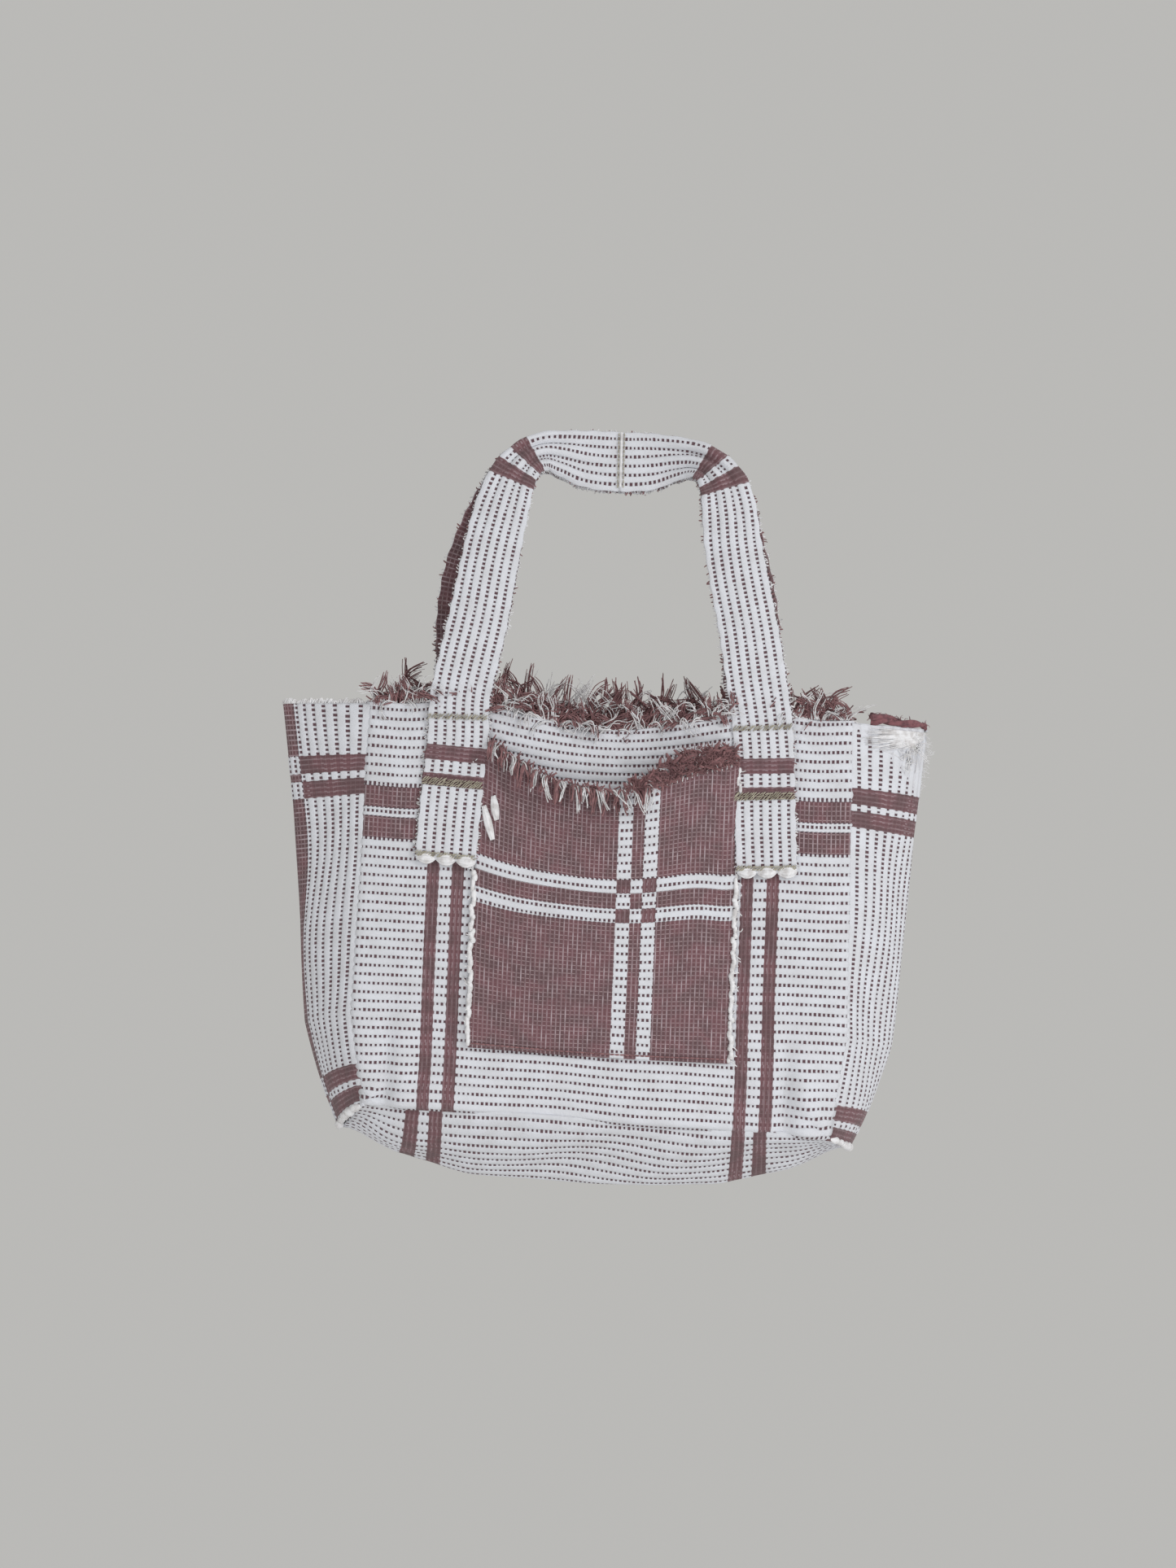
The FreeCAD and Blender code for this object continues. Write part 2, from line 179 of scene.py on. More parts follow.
def ramp(tree, value, low, high):
    """0 below low, 1 above high and smooth between; low may be the greater."""
    node = tree.nodes.new("ShaderNodeMapRange")
    node.interpolation_type = "SMOOTHSTEP"
    flip = low > high
    for label, number in (
        ("From Min", min(low, high)), ("From Max", max(low, high)),
        ("To Min", 1.0 if flip else 0.0), ("To Max", 0.0 if flip else 1.0),
    ):
        node.inputs[label].default_value = number
    plug(tree, node.inputs["Value"], value)
    return node.outputs["Result"]


def mix(tree, share, first, second):
    node = tree.nodes.new("ShaderNodeMix")
    node.data_type = "RGBA"
    plug(tree, node.inputs["Factor"], share)
    for socket, value in ((node.inputs[6], first), (node.inputs[7], second)):
        plug(tree, socket, (*value, 1) if isinstance(value, tuple) else value)
    return node.outputs[2]


def noise(tree, place, scale, stretch=(1, 1, 1), detail=2.0):
    mapping = tree.nodes.new("ShaderNodeMapping")
    mapping.inputs["Scale"].default_value = stretch
    plug(tree, mapping.inputs["Vector"], place)
    node = tree.nodes.new("ShaderNodeTexNoise")
    node.inputs["Scale"].default_value = scale
    node.inputs["Detail"].default_value = detail
    tree.links.new(mapping.outputs["Vector"], node.inputs["Vector"])
    return node.outputs["Fac"]


def new_material(name):
    material = bpy.data.materials.new(name)
    material.use_nodes = True
    return material, material.node_tree


def build_loom():
    """The weave: Place is in metres of cloth, x along the rows, y across them. Swap is 1 where
    the ground is brown, Border is 1 along a band's edge and Crossing is 1 in the bands that
    cross the rows. Bold makes the dashes taller, and near 0 it leaves them out. Gives the
    colour and the height of the yarns."""
    tree, source, result = new_group(
        "handloom_weave",
        (("Place", "NodeSocketVector"), ("Swap", "NodeSocketFloat"),
         ("Border", "NodeSocketFloat"), ("Crossing", "NodeSocketFloat"),
         ("Bold", "NodeSocketFloat")),
        (("Color", "NodeSocketColor"), ("Height", "NodeSocketFloat")),
    )
    place, swap = source.outputs["Place"], source.outputs["Swap"]
    split = tree.nodes.new("ShaderNodeSeparateXYZ")
    tree.links.new(place, split.inputs[0])
    along, across = split.outputs[0], split.outputs[1]

    def steps(coordinate, pitch):
        """The number of the step a place falls in, and its distance from the step's middle."""
        step = calc(tree, "DIVIDE", coordinate, pitch)
        off = calc(tree, "SUBTRACT", calc(tree, "FRACT", step), 0.5)
        distance = times(tree, calc(tree, "ABSOLUTE", off), pitch / MM)
        return calc(tree, "FLOOR", step), distance

    def pair(first, second):
        both = tree.nodes.new("ShaderNodeCombineXYZ")
        plug(tree, both.inputs[0], first)
        plug(tree, both.inputs[1], second)
        return both.outputs[0]

    cloudy = noise(tree, place, 75, detail=3)
    row_number, from_groove = steps(across, ROW)
    drift = times(tree, noise(tree, pair(row_number, 0.0), 3.1), 2.5 * DASH)
    dash_number, from_dash = steps(calc(tree, "ADD", along, drift), DASH)
    chance = tree.nodes.new("ShaderNodeTexWhiteNoise")
    chance.noise_dimensions = "2D"
    tree.links.new(pair(dash_number, row_number), chance.inputs["Vector"])
    size = calc(tree, "MULTIPLY_ADD", chance.outputs["Value"], 0.42, 0.72)
    tall = times(tree, size, source.outputs["Bold"])
    dot = calc(
        tree, "MULTIPLY",
        ramp(tree, calc(tree, "DIVIDE", from_dash, size), 0.86, 0.60),
        ramp(tree, calc(tree, "DIVIDE", from_groove, tall), 1.12, 0.76))
    dot = times(tree, dot, ramp(tree, source.outputs["Bold"], 0.05, 0.45))
    # Brown ground: pale slubs running across the rows, and broken hairlines along them
    line_number, from_line = steps(along, DASH)
    line_place = pair(times(tree, line_number, 3.7),
                      times(tree, across, 90.0))
    streak = ramp(tree, noise(tree, line_place, 1.0, detail=1.5), 0.40, 0.72)
    streak = calc(tree, "MULTIPLY_ADD", streak, 0.74, 0.26)
    slubs = times(tree, ramp(tree, from_line, 0.52, 0.18), streak)
    hair_number, from_hair = steps(across, ROW / 2)
    hair_place = pair(times(tree, along, 130.0),
                      times(tree, hair_number, 5.3))
    hairline = ramp(tree, noise(tree, hair_place, 1.0, detail=2.0), 0.22, 0.62)
    hairline = times(tree, hairline, ramp(tree, from_hair, 0.40, 0.15))
    hairline = times(tree, hairline, ramp(tree, from_line, 0.30, 0.62))
    # Colours. The white ribs get painted shade towards each groove, and the brown ground gets
    # painted shade in the furrows between its slub lines.
    worn_and_groove_shaded_white = mix(tree, ramp(tree, cloudy, 0.3, 0.7), WORN_WHITE, WHITE)
    # Painted shade: the white darkens towards the groove between two ribs
    shade = times(tree, ramp(tree, from_groove, 1.3, 0.5), 0.14)
    worn_and_groove_shaded_white = mix(tree, shade, worn_and_groove_shaded_white, GROOVE_SHADE)
    dash_brown = mix(tree, chance.outputs["Value"], DARK, PALER_DASH)
    white_ground = mix(tree, dot, worn_and_groove_shaded_white, dash_brown)
    worn_and_furrow_shaded_brown = mix(tree, ramp(tree, cloudy, 0.36, 0.64), WORN_BROWN, BROWN)
    # Painted shade: the brown ground darkens in the low furrows between slub lines
    between = times(tree, ramp(tree, from_line, 0.75, 1.25), 0.35)
    worn_and_furrow_shaded_brown = mix(tree, between, worn_and_furrow_shaded_brown, FURROW_SHADE)
    crossing = source.outputs["Crossing"]
    carried = times(tree, ramp(tree, from_dash, 0.46, 0.24),
                    times(tree, ramp(tree, from_groove, 0.7, 1.3), crossing))
    carried = times(tree, carried, ramp(tree, cloudy, 0.38, 0.60))
    slub_part = calc(tree, "MULTIPLY_ADD", crossing, -0.60, 0.95)
    slub_share = calc(tree, "MAXIMUM", times(tree, slubs, slub_part),
                      times(tree, carried, 0.45))
    brown_ground = mix(tree, slub_share, worn_and_furrow_shaded_brown, SLUB)
    plain_part = calc(tree, "MULTIPLY_ADD", crossing, -0.44, 0.54)
    hair_share = times(tree, hairline, plain_part)
    brown_ground = mix(tree, hair_share, brown_ground, HAIRLINE)
    colour = mix(tree, swap, white_ground, brown_ground)
    border = times(tree, source.outputs["Border"],
                   ramp(tree, from_dash, 0.85, 0.55))
    colour = mix(tree, border, colour, DARK)
    # Height: puffed ribs broken by the dashes, or a flat plain weave of fine yarns
    ply = noise(tree, place, 1.0, (2600, 900, 1), detail=1.0)
    rib = ramp(tree, from_groove, 0.2, 1.5)
    lofty = calc(tree, "MULTIPLY_ADD", dot, -0.45, times(tree, rib, 0.6))
    lofty = calc(tree, "ADD", lofty, times(tree, ply, 0.6))
    thread = calc(tree, "SINE", times(tree, across, 2 * math.pi / PLAIN_PITCH))
    plain = calc(tree, "MULTIPLY_ADD", thread, 0.07, times(tree, slubs, 0.3))
    plain = calc(tree, "ADD", plain, times(tree, ply, 0.45))
    plain = calc(tree, "MULTIPLY_ADD", ramp(tree, from_line, 0.6, 0.2), 0.25, plain)
    height = tree.nodes.new("ShaderNodeMix")
    plug(tree, height.inputs["Factor"], swap)
    plug(tree, height.inputs[2], lofty)
    plug(tree, height.inputs[3], plain)
    tree.links.new(colour, result.inputs["Color"])
    tree.links.new(height.outputs[0], result.inputs["Height"])
    return tree


LOOM = build_loom()


def bands(tree, coordinate, other, pitch, stripes):
    """1 inside any of the stripes, each (centre, width) in metres along the coordinate, and 1
    on their edges. The edges are scalloped at the pitch of the other coordinate."""
    wave = calc(tree, "COSINE", times(tree, other, 2 * math.pi / pitch))
    wave = times(tree, wave, 0.17 * MM)
    total, edges = 0.0, 0.0
    for centre, width in stripes:
        offset = calc(tree, "ABSOLUTE", calc(tree, "SUBTRACT", coordinate, centre))
        waved = calc(tree, "ADD", offset, wave)
        inside = ramp(tree, waved, width / 2 + 0.25 * MM, width / 2 - 0.25 * MM)
        from_edge = calc(tree, "ABSOLUTE", calc(tree, "SUBTRACT", offset, width / 2))
        total = calc(tree, "MAXIMUM", total, inside)
        edges = calc(tree, "MAXIMUM", edges, ramp(tree, from_edge, 0.62 * MM, 0.36 * MM))
    return total, edges


def finish_cloth(material, colour, height, depth):
    """The cotton's own shader: matt, with a soft sheen, and its yarns raised by a bump."""
    tree = material.node_tree
    shader = tree.nodes["Principled BSDF"]
    shader.inputs["Roughness"].default_value = 0.92
    shader.inputs["Specular IOR Level"].default_value = 0.15
    shader.inputs["Sheen Weight"].default_value = 0.15
    shader.inputs["Sheen Roughness"].default_value = 0.6
    bump = tree.nodes.new("ShaderNodeBump")
    bump.inputs["Strength"].default_value = 0.75
    bump.inputs["Distance"].default_value = depth
    plug(tree, bump.inputs["Height"], height)
    plug(tree, shader.inputs["Base Color"], colour)
    tree.links.new(bump.outputs["Normal"], shader.inputs["Normal"])


def cotton(name, brown_face, columns=(), rows=(), bold=1.0, worn=None):
    """Handloom cloth, with bands at places along the rows (columns) and across them (rows).
    In a strip worn away at its top the dashes are gone above a line that slopes by worn."""
    material, tree = new_material(name)
    place = tree.nodes.new("ShaderNodeUVMap")
    place.uv_map = "cloth"
    split = tree.nodes.new("ShaderNodeSeparateXYZ")
    tree.links.new(place.outputs["UV"], split.inputs[0])
    swap = 1.0 if brown_face else 0.0
    border, crossing = 0.0, 0.0
    along, across = split.outputs[0], split.outputs[1]
    for coordinate, other, pitch, stripes in ((along, across, ROW, columns),
                                              (across, along, DASH, rows)):
        if stripes:
            inside, edges = bands(tree, coordinate, other, pitch, stripes)
            swap = calc(tree, "ABSOLUTE", calc(tree, "SUBTRACT", swap, inside))
            if coordinate is along:
                crossing = inside
            else:
                border = times(tree, edges, 0.3 if brown_face else 0.85)
    loom = tree.nodes.new("ShaderNodeGroup")
    loom.node_tree = LOOM
    tree.links.new(place.outputs["UV"], loom.inputs["Place"])
    plug(tree, loom.inputs["Swap"], swap)
    plug(tree, loom.inputs["Border"], border)
    if worn:
        from_seam = calc(tree, "SUBTRACT", GUSSET_HALF, calc(tree, "ABSOLUTE", across))
        below = calc(tree, "MULTIPLY_ADD", from_seam, -worn,
                     times(tree, along, -1))
        bold = ramp(tree, below, -1 * MM, 4 * MM)
    plug(tree, loom.inputs["Bold"], bold)
    plug(tree, loom.inputs["Crossing"], crossing)
    finish_cloth(material, loom.outputs["Color"], loom.outputs["Height"], 0.7 * MM)
    return material


def in_stripes(coordinate, stripes):
    inside = np.zeros_like(coordinate)
    for centre, width in stripes:
        inside = np.maximum(inside, (np.abs(coordinate - centre) < width / 2).astype(float))
    return inside


def wobble(along, across, phase):
    """How a hand-woven row strays from its straight line."""
    return MM * (
        0.55 * np.sin(along / 0.031 + phase)
        + 0.35 * np.sin(along / 0.0127 + 2.1 * phase + across / 0.05)
        + 0.4 * np.sin(along / 0.071 + across / 0.043 + 3.7 * phase)
    )


def weave_mesh(name, points, along, across, faces, columns=(), rows=(), brown=False,
               phase=0.0, hole=None, thickness=CLOTH):
    """A closed two-faced cloth from a grid of points on its middle surface. The grid's first
    index runs down the piece and its second to the right, seen from outside. along and across
    are its places in the weave; faces are the outer and inner materials."""
    across = across + wobble(along, across, phase)
    right = np.gradient(points, axis=1)
    down = np.gradient(points, axis=0)
    normal = np.cross(down, right)
    normal /= np.linalg.norm(normal, axis=2, keepdims=True)
    swapped = np.abs(in_stripes(along, columns) - in_stripes(across, rows))
    flat_ground = 1 - swapped if brown else swapped
    rib = np.abs(np.cos(np.pi * (across / ROW))) ** 0.5
    lift = RIB * (rib - 0.35) * (1 - 0.75 * flat_ground)
    outer = points + normal * (thickness / 2 + lift)[..., None]
    back_lift = RIB * 0.35 * (rib - 0.5)
    inner = points - normal * (thickness / 2 + back_lift)[..., None]
    tall, wide = points.shape[:2]
    count = tall * wide
    index = np.arange(count).reshape(tall, wide)
    quad = np.stack(
        [index[:-1, :-1], index[1:, :-1], index[1:, 1:], index[:-1, 1:]], axis=-1
    ).reshape(-1, 4)
    kept = np.ones(len(quad), bool) if hole is None else ~hole[:-1, :-1].reshape(-1)
    quad = quad[kept]
    edges = np.concatenate([quad[:, [k, (k + 1) % 4]] for k in range(4)])
    known = {(int(a), int(b)) for a, b in edges}
    rim = np.array([(a, b) for a, b in known if (b, a) not in known])
    rim = rim[np.lexsort((rim[:, 1], rim[:, 0]))]
    walls = np.stack([rim[:, 1], rim[:, 0], rim[:, 0] + count, rim[:, 1] + count], axis=-1)
    polygons = np.concatenate([quad, quad[:, ::-1] + count, walls])
    used = np.unique(polygons)
    renumber = np.zeros(2 * count, int)
    renumber[used] = np.arange(len(used))
    vertices = np.concatenate([outer.reshape(-1, 3), inner.reshape(-1, 3)])[used]
    polygons = renumber[polygons]
    mesh = bpy.data.meshes.new(name)
    mesh.vertices.add(len(vertices))
    mesh.vertices.foreach_set("co", vertices.ravel())
    mesh.loops.add(polygons.size)
    mesh.loops.foreach_set("vertex_index", polygons.ravel().astype(np.int32))
    mesh.polygons.add(len(polygons))
    mesh.polygons.foreach_set("loop_start", np.arange(0, polygons.size, 4, dtype=np.int32))
    face_of = np.repeat((0, 1, 0), (len(quad), len(quad), len(walls)))
    mesh.polygons.foreach_set("material_index", face_of.astype(np.int32))
    layer = mesh.uv_layers.new(name="cloth")
    places = np.stack([np.tile(along.ravel(), 2), np.tile(across.ravel(), 2)], axis=-1)[used]
    layer.data.foreach_set("uv", places[polygons.ravel()].ravel())
    for material in faces:
        mesh.materials.append(material)
    mesh.update(calc_edges=True)
    mesh.validate()
    piece = add_object(name, mesh)
    mesh.shade_smooth()
    return piece


def panel_half(drop):
    return np.interp(drop, (0, WAIST_DROP, PANEL_HEIGHT), HALF_WIDTHS)


def half_depth(drop):
    return HALF_DEPTH[0] + (HALF_DEPTH[1] - HALF_DEPTH[0]) * drop / PANEL_HEIGHT


def bump_at(value, centre, width):
    return np.exp(-(((value - centre) / width) ** 2))


def base_rise(x, drop=PANEL_HEIGHT):
    """How far the cloth rides up towards the base, which is sewn on a little askew."""
    return 5 * MM * (1 - x / (145 * MM)) * np.clip(drop / PANEL_HEIGHT, 0, 1) ** 3


def panel_face(x, drop, facing):
    """Middle surface of a hanging panel: it sags between the straps and waves a little."""
    phase = 0.0 if facing < 0 else 2.3
    fade = np.exp(-np.clip(drop, 0, None) / (70 * MM))
    rim = (
        (-9 if facing < 0 else -3) * MM * bump_at(x, 0, 48 * MM)
        + 5 * MM * (bump_at(x, -92 * MM, 30 * MM) + bump_at(x, 92 * MM, 30 * MM))
        + 2.5 * MM * bump_at(np.abs(x), 149 * MM, 22 * MM)
    )
    belly = 4 * MM * np.sin(np.pi * np.clip(drop / PANEL_HEIGHT, 0, 1)) * np.cos(x / 0.11)
    waves = MM * (
        1.7 * np.sin(x / 0.024 + drop / 0.09 + phase) * (0.35 + 0.65 * fade)
        + 1.3 * np.sin(x / 0.038 - drop / 0.031 + 1.0 + phase)
        + 0.8 * np.sin(drop / 0.017 + x / 0.09 + 2.0 * phase)
        + 2.2 * bump_at(drop, 244 * MM, 16 * MM) * np.sin(x / 0.021 + phase)
    )
    mouth = -5 * MM * fade * np.cos(x / 0.03) * bump_at(x, 0, 70 * MM)
    low = bump_at(drop, 232 * MM, 42 * MM)
    creases = MM * low * (
        -4.2 * bump_at(x, 113 * MM, 6 * MM) + 2.6 * bump_at(x, 126 * MM, 9 * MM)
        - 3.6 * bump_at(x, -127 * MM, 5 * MM) + 2.4 * bump_at(x, -116 * MM, 9 * MM)
    )
    beside, below = HALF_WIDTHS[2] - np.abs(x), PANEL_HEIGHT - drop
    far = np.hypot(beside, below)
    pulled = 2.4 * MM * np.sin(8 * np.arctan2(below, np.abs(beside) + 1 * MM) + phase)
    pulled *= np.exp(-far / (26 * MM)) * np.clip(far / (10 * MM), 0, 1)
    edge = np.abs(x) - panel_half(drop)
    tuck = 2.4 * MM * np.exp(-((edge / (2.0 * MM)) ** 2))
    tuck = np.maximum(tuck, 2.4 * MM * np.exp(-(((drop - PANEL_HEIGHT) / (2.0 * MM)) ** 2)))
    calm = 1 - bump_at(np.abs(x), 149 * MM, 12 * MM)
    out = half_depth(drop) - CLOTH / 2 - tuck
    out += (belly + waves + mouth + creases + pulled) * calm
    rise = rim * fade + base_rise(x, drop)
    return np.stack([x, facing * out, RIM_Z - drop + rise], axis=-1)


def grid(tall, wide, rows, columns):
    """Places down and across a piece, whose two ranges are tall and wide."""
    return np.meshgrid(np.linspace(*tall, rows), np.linspace(*wide, columns), indexing="ij")


def fasten(piece, node, body="bag"):
    """Puts a piece on its body in place of a CAD node."""
    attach(piece, body)
    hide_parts(node)


PANEL_COLUMNS = ((-104 * MM, 7.5 * MM), (-89 * MM, 7.5 * MM),
                 (86 * MM, 7.5 * MM), (101.5 * MM, 7.5 * MM))
PANEL_ROWS = ((-55.4 * MM, 13 * MM), (-74 * MM, 13 * MM))
panel_white = cotton("panel_outer_face", False, PANEL_COLUMNS, PANEL_ROWS, SOFT_DASHES)
panel_brown = cotton("panel_inner_face", True, PANEL_COLUMNS, PANEL_ROWS)
for facing, side in FACES:
    drop, share = grid((0, PANEL_HEIGHT), (-1, 1), 300, 84)
    x = -facing * share * panel_half(drop)
    points = panel_face(x, drop, facing)
    panel = weave_mesh(f"{side}_panel_cloth", points, x, -drop, (panel_white, panel_brown),
                       PANEL_COLUMNS, PANEL_ROWS, phase=0.4 + facing)
    fasten(panel, f"{side}_panel")

# ---- Side strips ----
# Two strips of the same cloth sewn between the panels, their rows running up and down. They
# are folded outwards along the middle, so the bag hangs nearly flat. The right one is worn
# through at its top corner, and two small holes show there.
REACH_DROPS = np.array((0, 55, 126, 175, 205, 230, 250)) * MM
REACHES = {-1: np.array((54.5, 45, 37, 32.5, 29, 24, 17)) * MM,
           1: np.array((47.5, 41.5, 36, 32.5, 29, 24, 17)) * MM}
GUSSET_ROWS = {"left": ((-4 * MM, 16 * MM),), "right": ()}
GUSSET_COLUMNS = {
    "left": ((-34.4 * MM, 10 * MM), (-48.8 * MM, 10 * MM),
             (-228 * MM, 10 * MM), (-242 * MM, 10 * MM)),
    "right": ((-43 * MM, 10 * MM), (-57 * MM, 10 * MM),
              (-234 * MM, 9 * MM), (-247 * MM, 9 * MM)),
}


def soft_fold(share):
    """1 at the fold's crest and 0 at both edges, with the crest rounded."""
    round_off = 0.10
    raised = np.sqrt(share**2 + round_off**2) - round_off
    return 1 - raised / (math.sqrt(1 + round_off**2) - round_off)


def eased(value, places, sizes, steps, reach, reflect):
    """The size at a value, on a line through the sizes at places with its corners rounded."""
    fine = np.linspace(0, places[-1], steps)
    kernel = np.hanning(2 * reach + 1)
    padded = np.pad(np.interp(fine, places, sizes), reach, mode="reflect", reflect_type=reflect)
    return np.interp(value, fine, np.convolve(padded, kernel / kernel.sum(), "valid"))


def seam_tuck(share):
    """How far a strip turns in at its seams; share is as in gusset_face."""
    return 2.2 * MM * np.exp(-(((np.abs(share) - 1) * GUSSET_HALF / (2.0 * MM)) ** 2))


def gusset_face(share, drop, side):
    """share runs from -1 at the front panel, through 0 at the fold, to 1 at the back panel."""
    reach = eased(drop, REACH_DROPS, REACHES[side], 200, 20, "odd")
    crest = soft_fold(share)
    phase = 0.8 if side > 0 else 3.1
    slack = np.sin(np.pi * np.abs(share))
    ends = 1 - bump_at(drop, PANEL_HEIGHT, 14 * MM)
    waves = MM * ends * (
        2.2 * np.sin(drop / 0.034 + phase + share) + 1.4 * np.sin(drop / 0.019 - 2 * share)
    )
    x = panel_half(drop) + reach * crest + slack * (3.0 * MM + waves) - seam_tuck(share)
    y = share * (half_depth(drop) - CLOTH / 2 - SEAM_INSET) + 0.5 * waves * (1 - np.abs(share))
    foot = np.clip(drop / PANEL_HEIGHT, 0, 1) ** 5
    droop = (6 * MM * (1 - bump_at(drop, 0, 32 * MM)) + 6 * MM * foot) * crest
    corner = 1.5 * MM * (1 - crest) * bump_at(drop, 0, 10 * MM)
    corner += base_rise(side * panel_half(drop), drop) * (1 - crest)
    return np.stack([side * x, y, RIM_Z - drop - droop + corner], axis=-1)


def worn_holes(across, drop):
    """True where the right strip is worn through, both sides of the fold at its top."""
    hole = np.zeros(across.shape, bool)
    for centre, depth, radius in ((15, 10, 3.3), (20.5, 18.5, 2.0), (4, 1, 4.0)):
        wide = radius * np.where(across > 0, 1.5, 1.0)
        shift = np.where(across > 0, 2.5, 0.0)
        off = np.abs(across) - (centre - shift) * MM
        far = np.hypot(off / wide, (drop - depth * MM) / wide)
        ragged = 1 + 0.25 * np.sin(across / 0.0007) * np.cos(drop / 0.0009)
        hole |= far < MM * ragged
    return hole


for side, name in SIDES:
    outer = cotton(f"{name}_strip_outer_face", False, GUSSET_COLUMNS[name], GUSSET_ROWS[name],
                   worn=0.9 if side > 0 else None)
    inner = cotton(f"{name}_strip_inner_face", True, GUSSET_COLUMNS[name], GUSSET_ROWS[name])
    drop, share = grid((0, PANEL_HEIGHT + 1 * MM), (-1, 1), 180, 122)
    if side < 0:
        share = -share
    points = gusset_face(share, drop, side)
    hole = worn_holes(share * GUSSET_HALF, drop) if side > 0 else None
    across = share * GUSSET_HALF + np.sign(share) * seam_tuck(share)
    strip = weave_mesh(f"{name}_gusset_cloth", points, -drop, across, (outer, inner),
                       GUSSET_COLUMNS[name], GUSSET_ROWS[name], phase=side * 1.3, hole=hole)
    fasten(strip, f"{name}_gusset")

# ---- Bottom strip ----
# A third strip closes the base. It sags below the panels' lower edges, lowest in the middle,
# and meets the side strips in lumpy seams at the lower corners.
SAG_PLACES = np.array((0, 77, 119, 141)) * MM
SAGS = np.array((40, 37, 24, 8)) * MM
BOTTOM_COLUMNS = ((-110 * MM, 8 * MM), (-96 * MM, 8 * MM), (86 * MM, 8 * MM), (99 * MM, 8 * MM))


def bottom_face(share, x):
    """share runs from -1 at the front panel, through 0 at the lowest line, to 1 at the back."""
    sag = eased(np.abs(x), SAG_PLACES, SAGS, 160, 15, "even")
    crest = soft_fold(share)
    slack = np.sin(np.pi * np.abs(share))
    ends = 1 - bump_at(np.abs(x), HALF_WIDTHS[2], 16 * MM)
    waves = MM * ends * (
        2.4 * np.sin(x / 0.027 + 1.5 * share) + 1.7 * np.sin(x / 0.014 + 3 * share)
        + 1.6 * np.sin(5 * share + x / 0.06)
    )
    stretch = 1 + 16 * MM / HALF_WIDTHS[2] * crest * (np.abs(x) / HALF_WIDTHS[2]) ** 3
    y = share * (HALF_DEPTH[1] - CLOTH / 2 - SEAM_INSET)
    z = RIM_Z - PANEL_HEIGHT - sag * crest - slack * (2.5 * MM * ends + waves) + seam_tuck(share)
    z += base_rise(x) * (1 - crest)
    return np.stack([x * stretch, y, z], axis=-1)


outer = cotton("bottom_strip_outer_face", False, BOTTOM_COLUMNS, (), SOFT_DASHES)
inner = cotton("bottom_strip_inner_face", True, BOTTOM_COLUMNS, ())
share, x = grid((-1, 1), (-HALF_WIDTHS[2], HALF_WIDTHS[2]), 122, 96)
across = share * GUSSET_HALF + np.sign(share) * seam_tuck(share)
bottom = weave_mesh("bottom_gusset_cloth", bottom_face(share, x), x, across,
                    (outer, inner), BOTTOM_COLUMNS, (), phase=2.6)
fasten(bottom, "bottom_gusset")

# ---- Seams ----
# The pieces are sewn right sides together and turned, so each seam is a shallow valley with a
# row of cotton thread in it. At the lower corners the turned edges bunch into lumps.
random.seed(11)


def build_yarn_group():
    """Twisted cotton yarn: Place in metres, Light and Dark the yarn's two tones."""
    tree, source, result = new_group(
        "twisted_yarn",
        (("Place", "NodeSocketVector"), ("Light", "NodeSocketColor"),
         ("Dark", "NodeSocketColor")),
        (("Color", "NodeSocketColor"), ("Height", "NodeSocketFloat")),
    )
    place = source.outputs["Place"]
    coarse = noise(tree, place, 260, detail=2)
    fuzz = noise(tree, place, 2600, detail=2)
    tone = calc(tree, "ADD", ramp(tree, coarse, 0.3, 0.7),
                times(tree, fuzz, 0.4), clamp=True)
    colour = mix(tree, tone, source.outputs["Dark"], source.outputs["Light"])
    tree.links.new(colour, result.inputs["Color"])
    tree.links.new(fuzz, result.inputs["Height"])
    return tree


YARN = build_yarn_group()


def yarn(name, light, dark):
    material, tree = new_material(name)
    place = tree.nodes.new("ShaderNodeTexCoord")
    group = tree.nodes.new("ShaderNodeGroup")
    group.node_tree = YARN
    tree.links.new(place.outputs["Object"], group.inputs["Place"])
    group.inputs["Light"].default_value = (*light, 1)
    group.inputs["Dark"].default_value = (*dark, 1)
    finish_cloth(material, group.outputs["Color"], group.outputs["Height"], 0.25 * MM)
    return material


white_yarn = yarn("white_cotton_yarn", (0.76, 0.76, 0.78), (0.52, 0.50, 0.50))
brown_yarn = yarn("brown_cotton_yarn", (0.275, 0.140, 0.145), (0.145, 0.070, 0.077))
khaki_thread = yarn("khaki_sewing_thread", (0.40, 0.37, 0.29), (0.22, 0.19, 0.145))


def strands(name, lines, materials, sides=1, smooth=3):
    """Yarns as one mesh. Each line is (points, radius, which material), points as a list of
    (x, y, z) or (x, y, z, share of the radius)."""
    curve = bpy.data.curves.new(name, "CURVE")
    curve.dimensions = "3D"
    curve.bevel_depth = 1.0
    curve.bevel_resolution = sides
    curve.resolution_u = smooth
    curve.use_fill_caps = True
    for material in materials:
        curve.materials.append(material)
    for points, radius, which in lines:
        spline = curve.splines.new("NURBS")
        spline.points.add(len(points) - 1)
        for point, place in zip(spline.points, points):
            point.co = (*place[:3], 1)
            point.radius = radius * (place[3] if len(place) > 3 else 1)
        spline.order_u = 3
        spline.use_endpoint_u = True
        spline.material_index = which
    shaped = add_object(name + "_curve", curve)
    bpy.context.view_layer.update()
    evaluated = shaped.evaluated_get(bpy.context.evaluated_depsgraph_get())
    mesh = bpy.data.meshes.new_from_object(evaluated)
    mesh.name = name
    bpy.data.objects.remove(shaped)
    bpy.data.curves.remove(curve)
    piece = add_object(name, mesh)
    mesh.shade_smooth()
    return piece


def sized(places, sizes):
    """Places along a yarn with the share of its radius at each."""
    return [(*place, size) for place, size in zip(places, sizes)]


def tapered(places, loss, full=1):
    """Places along a yarn that starts at a full share of its radius and thins by steps."""
    return [(*place, full - loss * step) for step, place in enumerate(places)]


